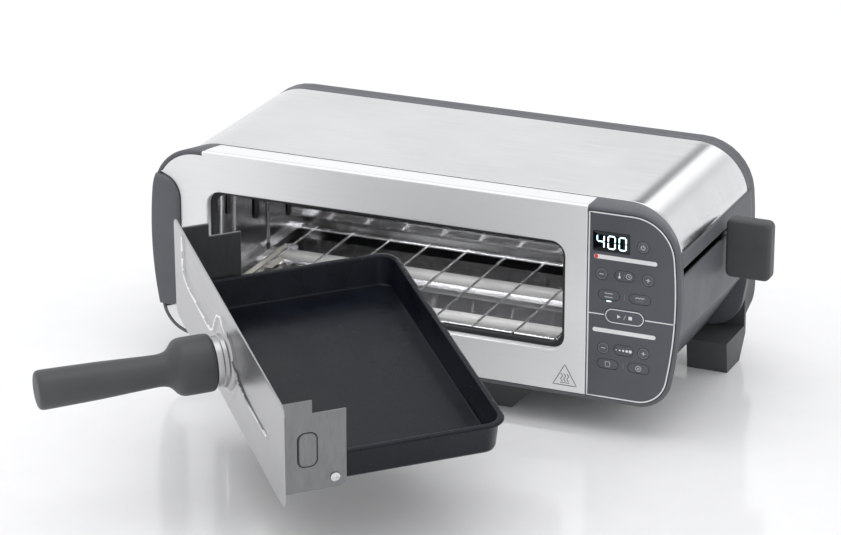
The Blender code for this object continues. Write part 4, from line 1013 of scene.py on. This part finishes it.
def tray_skin():
    """The pan: one section from the middle of the outside floor, up the wall, over the rolled rim and
    down to the middle of the inside floor, carried round a rounded rectangle."""
    (v0, v1), (w0, w1) = TRAY_D, TRAY_Z
    inner = [(0.0090, w0 + 0.0012), (0.0074, w0 + 0.0016), (0.0066, w0 + 0.0030), (0.0052, w1 - 0.0016),
             (0.0046, w1 - 0.0004), (0.0038, w1), (0.0022, w1), (0.0010, w1 - 0.0004), (0.0002, w1 - 0.0012),
             (0.0002, w1 - 0.0022), (0.0012, w1 - 0.0026), (0.0030, w1 - 0.0022), (0.0038, w1 - 0.0034),
             (0.0058, w0 + 0.0030), (0.0066, w0 + 0.0010), (0.0084, w0)]
    rows = []
    floor_in = [(inset, w0 + 0.0012) for inset in (0.078, 0.040, 0.0170)]
    floor_under = [(inset, w0) for inset in (0.0170, 0.078)]
    for inset, w in floor_in + inner + floor_under:
        r = max(0.016 - inset * 0.7, 0.002) if inset < 0.015 else 0.004
        loop = rounded_loop(-TRAY_HALF_L + inset, TRAY_HALF_L - inset, v0 + inset, v1 - inset, r, 12)
        rows.append(stack(loop[:, 0], loop[:, 1], w))
    middle = rows[0] * (1, 0, 1) + (0, (v0 + v1) / 2, 0)
    under = rows[-1] * (1, 0, 1) + (0, (v0 + v1) / 2, 0)
    P = np.array([middle] + rows + [under])
    studs = []
    for side in (-1, 1):
        studs.append(turned(((w0 + 0.0010, 0.0022), (w0 + 0.0018, 0.0020), (w0 + 0.0022, 0.0012),
                             (w0 + 0.0023, 0.0)),
                            (side * 0.118, 0.030, 0), 2, 20, 1))
    piece("pan_tray_skin", [quads(P, wrap_v=True)] + studs, [NONSTICK, WIRE_STEEL], "pan", ("pan_tray",),
          turn=place_pan, smooth=45)


def bracket_skin(side):
    """A side plate with a stepped top and a rounded lower corner, and its raised D-shaped tab ringed by a
    black band of painted shade.
    """
    x_in = TRAY_HALF_L + 0.0006
    edge = np.concatenate((np.array(((0.0006, 0.0057),)), arc(0.0426, 0.0137, 0.0080, -90, 0, 10),
                           np.array(((0.0506, 0.0729), (0.0504, 0.0731), (0.0245, 0.0731), (0.0242, 0.0734),
                                     (0.0242, 0.0843), (0.0239, 0.0846), (0.0006, 0.0846)))))
    edge = line(np.concatenate((edge, edge[:1])), 3)[:-1]
    centre = np.array((0.0200, 0.0420))

    def sheet(inset, x):
        d = edge - centre
        lp = edge - d / np.linalg.norm(d, axis=1, keepdims=True) * inset
        return stack(x, lp[:, 0], lp[:, 1])
    rings = [sheet(0.0012, x_in), sheet(0.0003, x_in), sheet(0.0, x_in + 0.0002), sheet(0.0, x_in + 0.0010),
             sheet(0.0002, x_in + 0.0012), sheet(0.0012, x_in + 0.0012)]
    mid_in, mid_out = (np.broadcast_to((x, *centre), (len(edge), 3)) for x in (x_in, x_in + 0.0012))
    surfaces = [quads(np.array([mid_in] + rings + [mid_out]), wrap_v=True)]

    def tab(inset):
        return rounded_loop(0.0131 + inset, 0.0273 - inset, 0.0280 + inset, 0.0565 - inset,
                            0.0055 - inset * 0.5, 8)
    tab_rows = [stack(x_in + x, tab(i)[:, 0], tab(i)[:, 1])
                for i, x in ((-0.0002, 0.0011), (0.0, 0.0016), (0.0004, 0.0023), (0.0012, 0.0026))]
    tab_rows.append(stack(np.full(len(tab(0.0)), x_in + 0.0026), 0.0202, 0.04225))
    surfaces.append(quads(np.array(tab_rows), wrap_v=True))
    # A near-black band round the tab: painted shade in the gap.
    gap = ribbon(tab(-0.0006), 0.0007, 0.0, 1)
    pts = gap[0]
    surfaces.append((stack(x_in + 0.0012 - pts[:, 1], pts[:, 0], pts[:, 2]), gap[1], 1))
    if side < 0:
        surfaces = [(pts * (-1, 1, 1), quad[:, ::-1], mat) for pts, quad, mat in surfaces]
    name = "pan_bracket_right" if side > 0 else "pan_bracket_left"
    piece(name + "_plate", surfaces, [BRACKET_STEEL, PAINTED_SHADE_BLACK], "pan", (name,),
          turn=place_pan, smooth=40)


def handle_skin():
    """Ferrule and grip: turned profiles with every corner eased by a small arc."""
    z, y = HANDLE_W, -DOOR_T
    ferrule = [(y - 0.0120, 0.0), (y - 0.0120, 0.0182), (y - 0.0115, 0.0194), (y - 0.0100, 0.0198),
               (y - 0.0070, 0.0200), (y - 0.0062, 0.0209), (y - 0.0034, 0.0212), (y - 0.0026, 0.0226),
               (y - 0.0014, 0.0241), (y - 0.0006, 0.0245), (y - 0.0004, 0.0)]
    piece("handle_ferrule_skin", [turned(ferrule, (0, 0, z), 1, 72)], DOOR_STEEL, "pan", ("handle_ferrule",),
          turn=place_pan, smooth=32)
    grip = [(0.1505, 0.0), (0.1505, 0.0098), (0.1504, 0.0122), (0.1499, 0.0138), (0.1488, 0.0149),
            (0.1467, 0.0155), (0.1380, 0.0154), (0.1200, 0.0150), (0.1000, 0.0145), (0.0800, 0.0136),
            (0.0640, 0.0129), (0.0560, 0.0126), (0.0520, 0.0129), (0.0485, 0.0138), (0.0460, 0.0153),
            (0.0438, 0.0178), (0.0420, 0.0200), (0.0400, 0.0216), (0.0375, 0.0225), (0.0350, 0.0228),
            (0.0260, 0.0228), (0.0160, 0.0227), (0.0140, 0.0224), (0.0128, 0.0216), (0.0124, 0.0204),
            (0.0124, 0.0)]
    profile = [(y - a, r) for a, r in grip]
    piece("handle_grip_skin", [turned(profile, (0, 0, z), 1, 72)], DARK_PLASTIC, "pan", ("handle_grip",),
          turn=place_pan, smooth=50)


# ------------------------------------------------------------------ carried-over nodes
def dress_cad():
    """Gives each CAD node that stays in view its own finish."""
    finishes = {
        "control_panel": PANEL_PLASTIC, "rear_cover": GREY_PLASTIC, "cord_gland": SEAL_RUBBER,
        "rear_foot_right": DARK_PLASTIC, "rear_foot_left": DARK_PLASTIC, "front_foot": DARK_PLASTIC,
        "control_board": BOARD_GREEN, "bulkhead": CAVITY_STEEL, "lower_reflector": CAVITY_STEEL,
        "upper_reflector": CAVITY_STEEL, "temperature_probe": WIRE_STEEL, "toast_carriage": CAVITY_STEEL,
        "bracket_screw_right": WIRE_STEEL, "bracket_screw_left": WIRE_STEEL, "handle_bolt": WIRE_STEEL,
    }
    for level in ("lower", "upper"):
        for side in ("left", "right"):
            finishes["tube_holder_%s_%s" % (level, side)] = CERAMIC
            finishes["guard_bracket_%s_%s" % (level, side)] = CAVITY_STEEL
    for name, mat in finishes.items():
        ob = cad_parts[name]
        for k in range(len(ob.data.materials)):
            ob.data.materials[k] = mat


# ------------------------------------------------------------------ stage, light and camera
CAMERA_AT = (1.1061, -2.5385, 1.1179)
CAMERA_DIP, CAMERA_AZIMUTH = math.radians(20.350), math.radians(23.363)
CAMERA_LENS, SENSOR_W = 153.5, 36.0
FLOOR_HALF = 14.0


def camera():
    cam = bpy.data.cameras.new("view")
    cam.sensor_width = SENSOR_W
    cam.lens = CAMERA_LENS
    cam.clip_end = 60
    ob = bpy.data.objects.new("view", cam)
    bpy.context.scene.collection.objects.link(ob)
    ob.location = place(np.array(CAMERA_AT))
    ob.rotation_euler = (math.pi / 2 - CAMERA_DIP, 0.0, CAMERA_AZIMUTH)
    bpy.context.scene.camera = ob


def floor():
    mesh = bpy.data.meshes.new("floor")
    s = FLOOR_HALF
    mesh.from_pydata([(-s, -s, 0), (s, -s, 0), (s, s, 0), (-s, s, 0)], [], [(0, 1, 2, 3)])
    mesh.materials.append(FLOOR_WHITE)
    ob = bpy.data.objects.new("floor", mesh)
    bpy.context.scene.collection.objects.link(ob)


def area_light(name, place_at, aim, size, power, colour=(1, 1, 1)):
    light = bpy.data.lights.new(name, "AREA")
    light.shape = "RECTANGLE"
    light.size, light.size_y = size
    light.energy = power
    light.color = colour
    ob = bpy.data.objects.new(name, light)
    bpy.context.scene.collection.objects.link(ob)
    ob.location = place_at
    ob.rotation_euler = (Vector(aim) - Vector(place_at)).to_track_quat("-Z", "Y").to_euler()


def studio():
    """Even white surroundings. Behind the object they change from left to right: white, a dark upright
    band, a bright one, then grey, which draws the streaks on the rounded steel."""
    world = bpy.data.worlds.new("studio")
    bpy.context.scene.world = world
    world.use_nodes = True
    tree = world.node_tree
    tree.nodes.clear()
    L = tree.links.new
    out = new_node(tree, "ShaderNodeOutputWorld")
    back = new_node(tree, "ShaderNodeBackground", in_Strength=1.0)
    split = new_node(tree, "ShaderNodeSeparateXYZ")
    L(new_node(tree, "ShaderNodeTexCoord").outputs["Generated"], split.inputs[0])
    across = new_node(tree, "ShaderNodeMapRange")
    across.inputs["From Min"].default_value, across.inputs["From Max"].default_value = -1.0, 1.0
    L(split.outputs["X"], across.inputs["Value"])
    ramp = new_node(tree, "ShaderNodeValToRGB")
    L(across.outputs[0], ramp.inputs[0])
    stops = ((0.0, 1.0), (0.355, 1.02), (0.385, 0.10), (0.435, 0.06), (0.475, 1.7), (0.560, 1.5),
             (0.640, 0.55), (1.0, 0.9))
    ramp.color_ramp.elements[0].position, ramp.color_ramp.elements[1].position = 0.0, 1.0
    for pos, _ in stops[1:-1]:
        ramp.color_ramp.elements.new(pos)
    for el, (pos, v) in zip(ramp.color_ramp.elements, stops):
        el.position = pos
        el.color = (v, v, v * 1.01, 1)
    behind = new_node(tree, "ShaderNodeMapRange")
    behind.inputs["From Min"].default_value, behind.inputs["From Max"].default_value = 0.45, 0.70
    L(split.outputs["Y"], behind.inputs["Value"])
    raised = new_node(tree, "ShaderNodeMapRange")
    raised.inputs["From Min"].default_value, raised.inputs["From Max"].default_value = 0.34, 0.44
    L(split.outputs["Z"], raised.inputs["Value"])
    both = new_node(tree, "ShaderNodeMath", operation="MULTIPLY")
    L(behind.outputs[0], both.inputs[0])
    L(raised.outputs[0], both.inputs[1])
    mix = new_node(tree, "ShaderNodeMix", data_type="RGBA")
    mix.inputs[6].default_value = (1.0, 1.0, 1.01, 1)
    L(both.outputs[0], mix.inputs[0])
    L(ramp.outputs[0], mix.inputs[7])
    L(mix.outputs[2], back.inputs[0])
    L(back.outputs[0], out.inputs[0])
    area_light("top_box", (0.1, -0.2, 2.6), (0, 0, 0.1), (2.6, 2.0), 14)
    mouth, rack = (tuple(place(np.array(at))) for at in ((-0.024, 0.012, 0.128), (-0.024, 0.12, 0.06)))
    area_light("cavity_box", mouth, rack, (0.28, 0.008), 0.35)
    bpy.context.scene.view_settings.view_transform = "Standard"


camera()
studio()
floor()
dress_cad()
wrap_skin()
rear_ring_skin()
housing_skin()
ring_skin()
front_plate_skin()
grip_skin()
seal_skin()
keys()
display()
panel_print()
front_sign()
top_sign()
cavity_skin()
guards()
heaters()
lever_skin()
door_skin()
tray_skin()
bracket_skin(1)
bracket_skin(-1)
handle_skin()
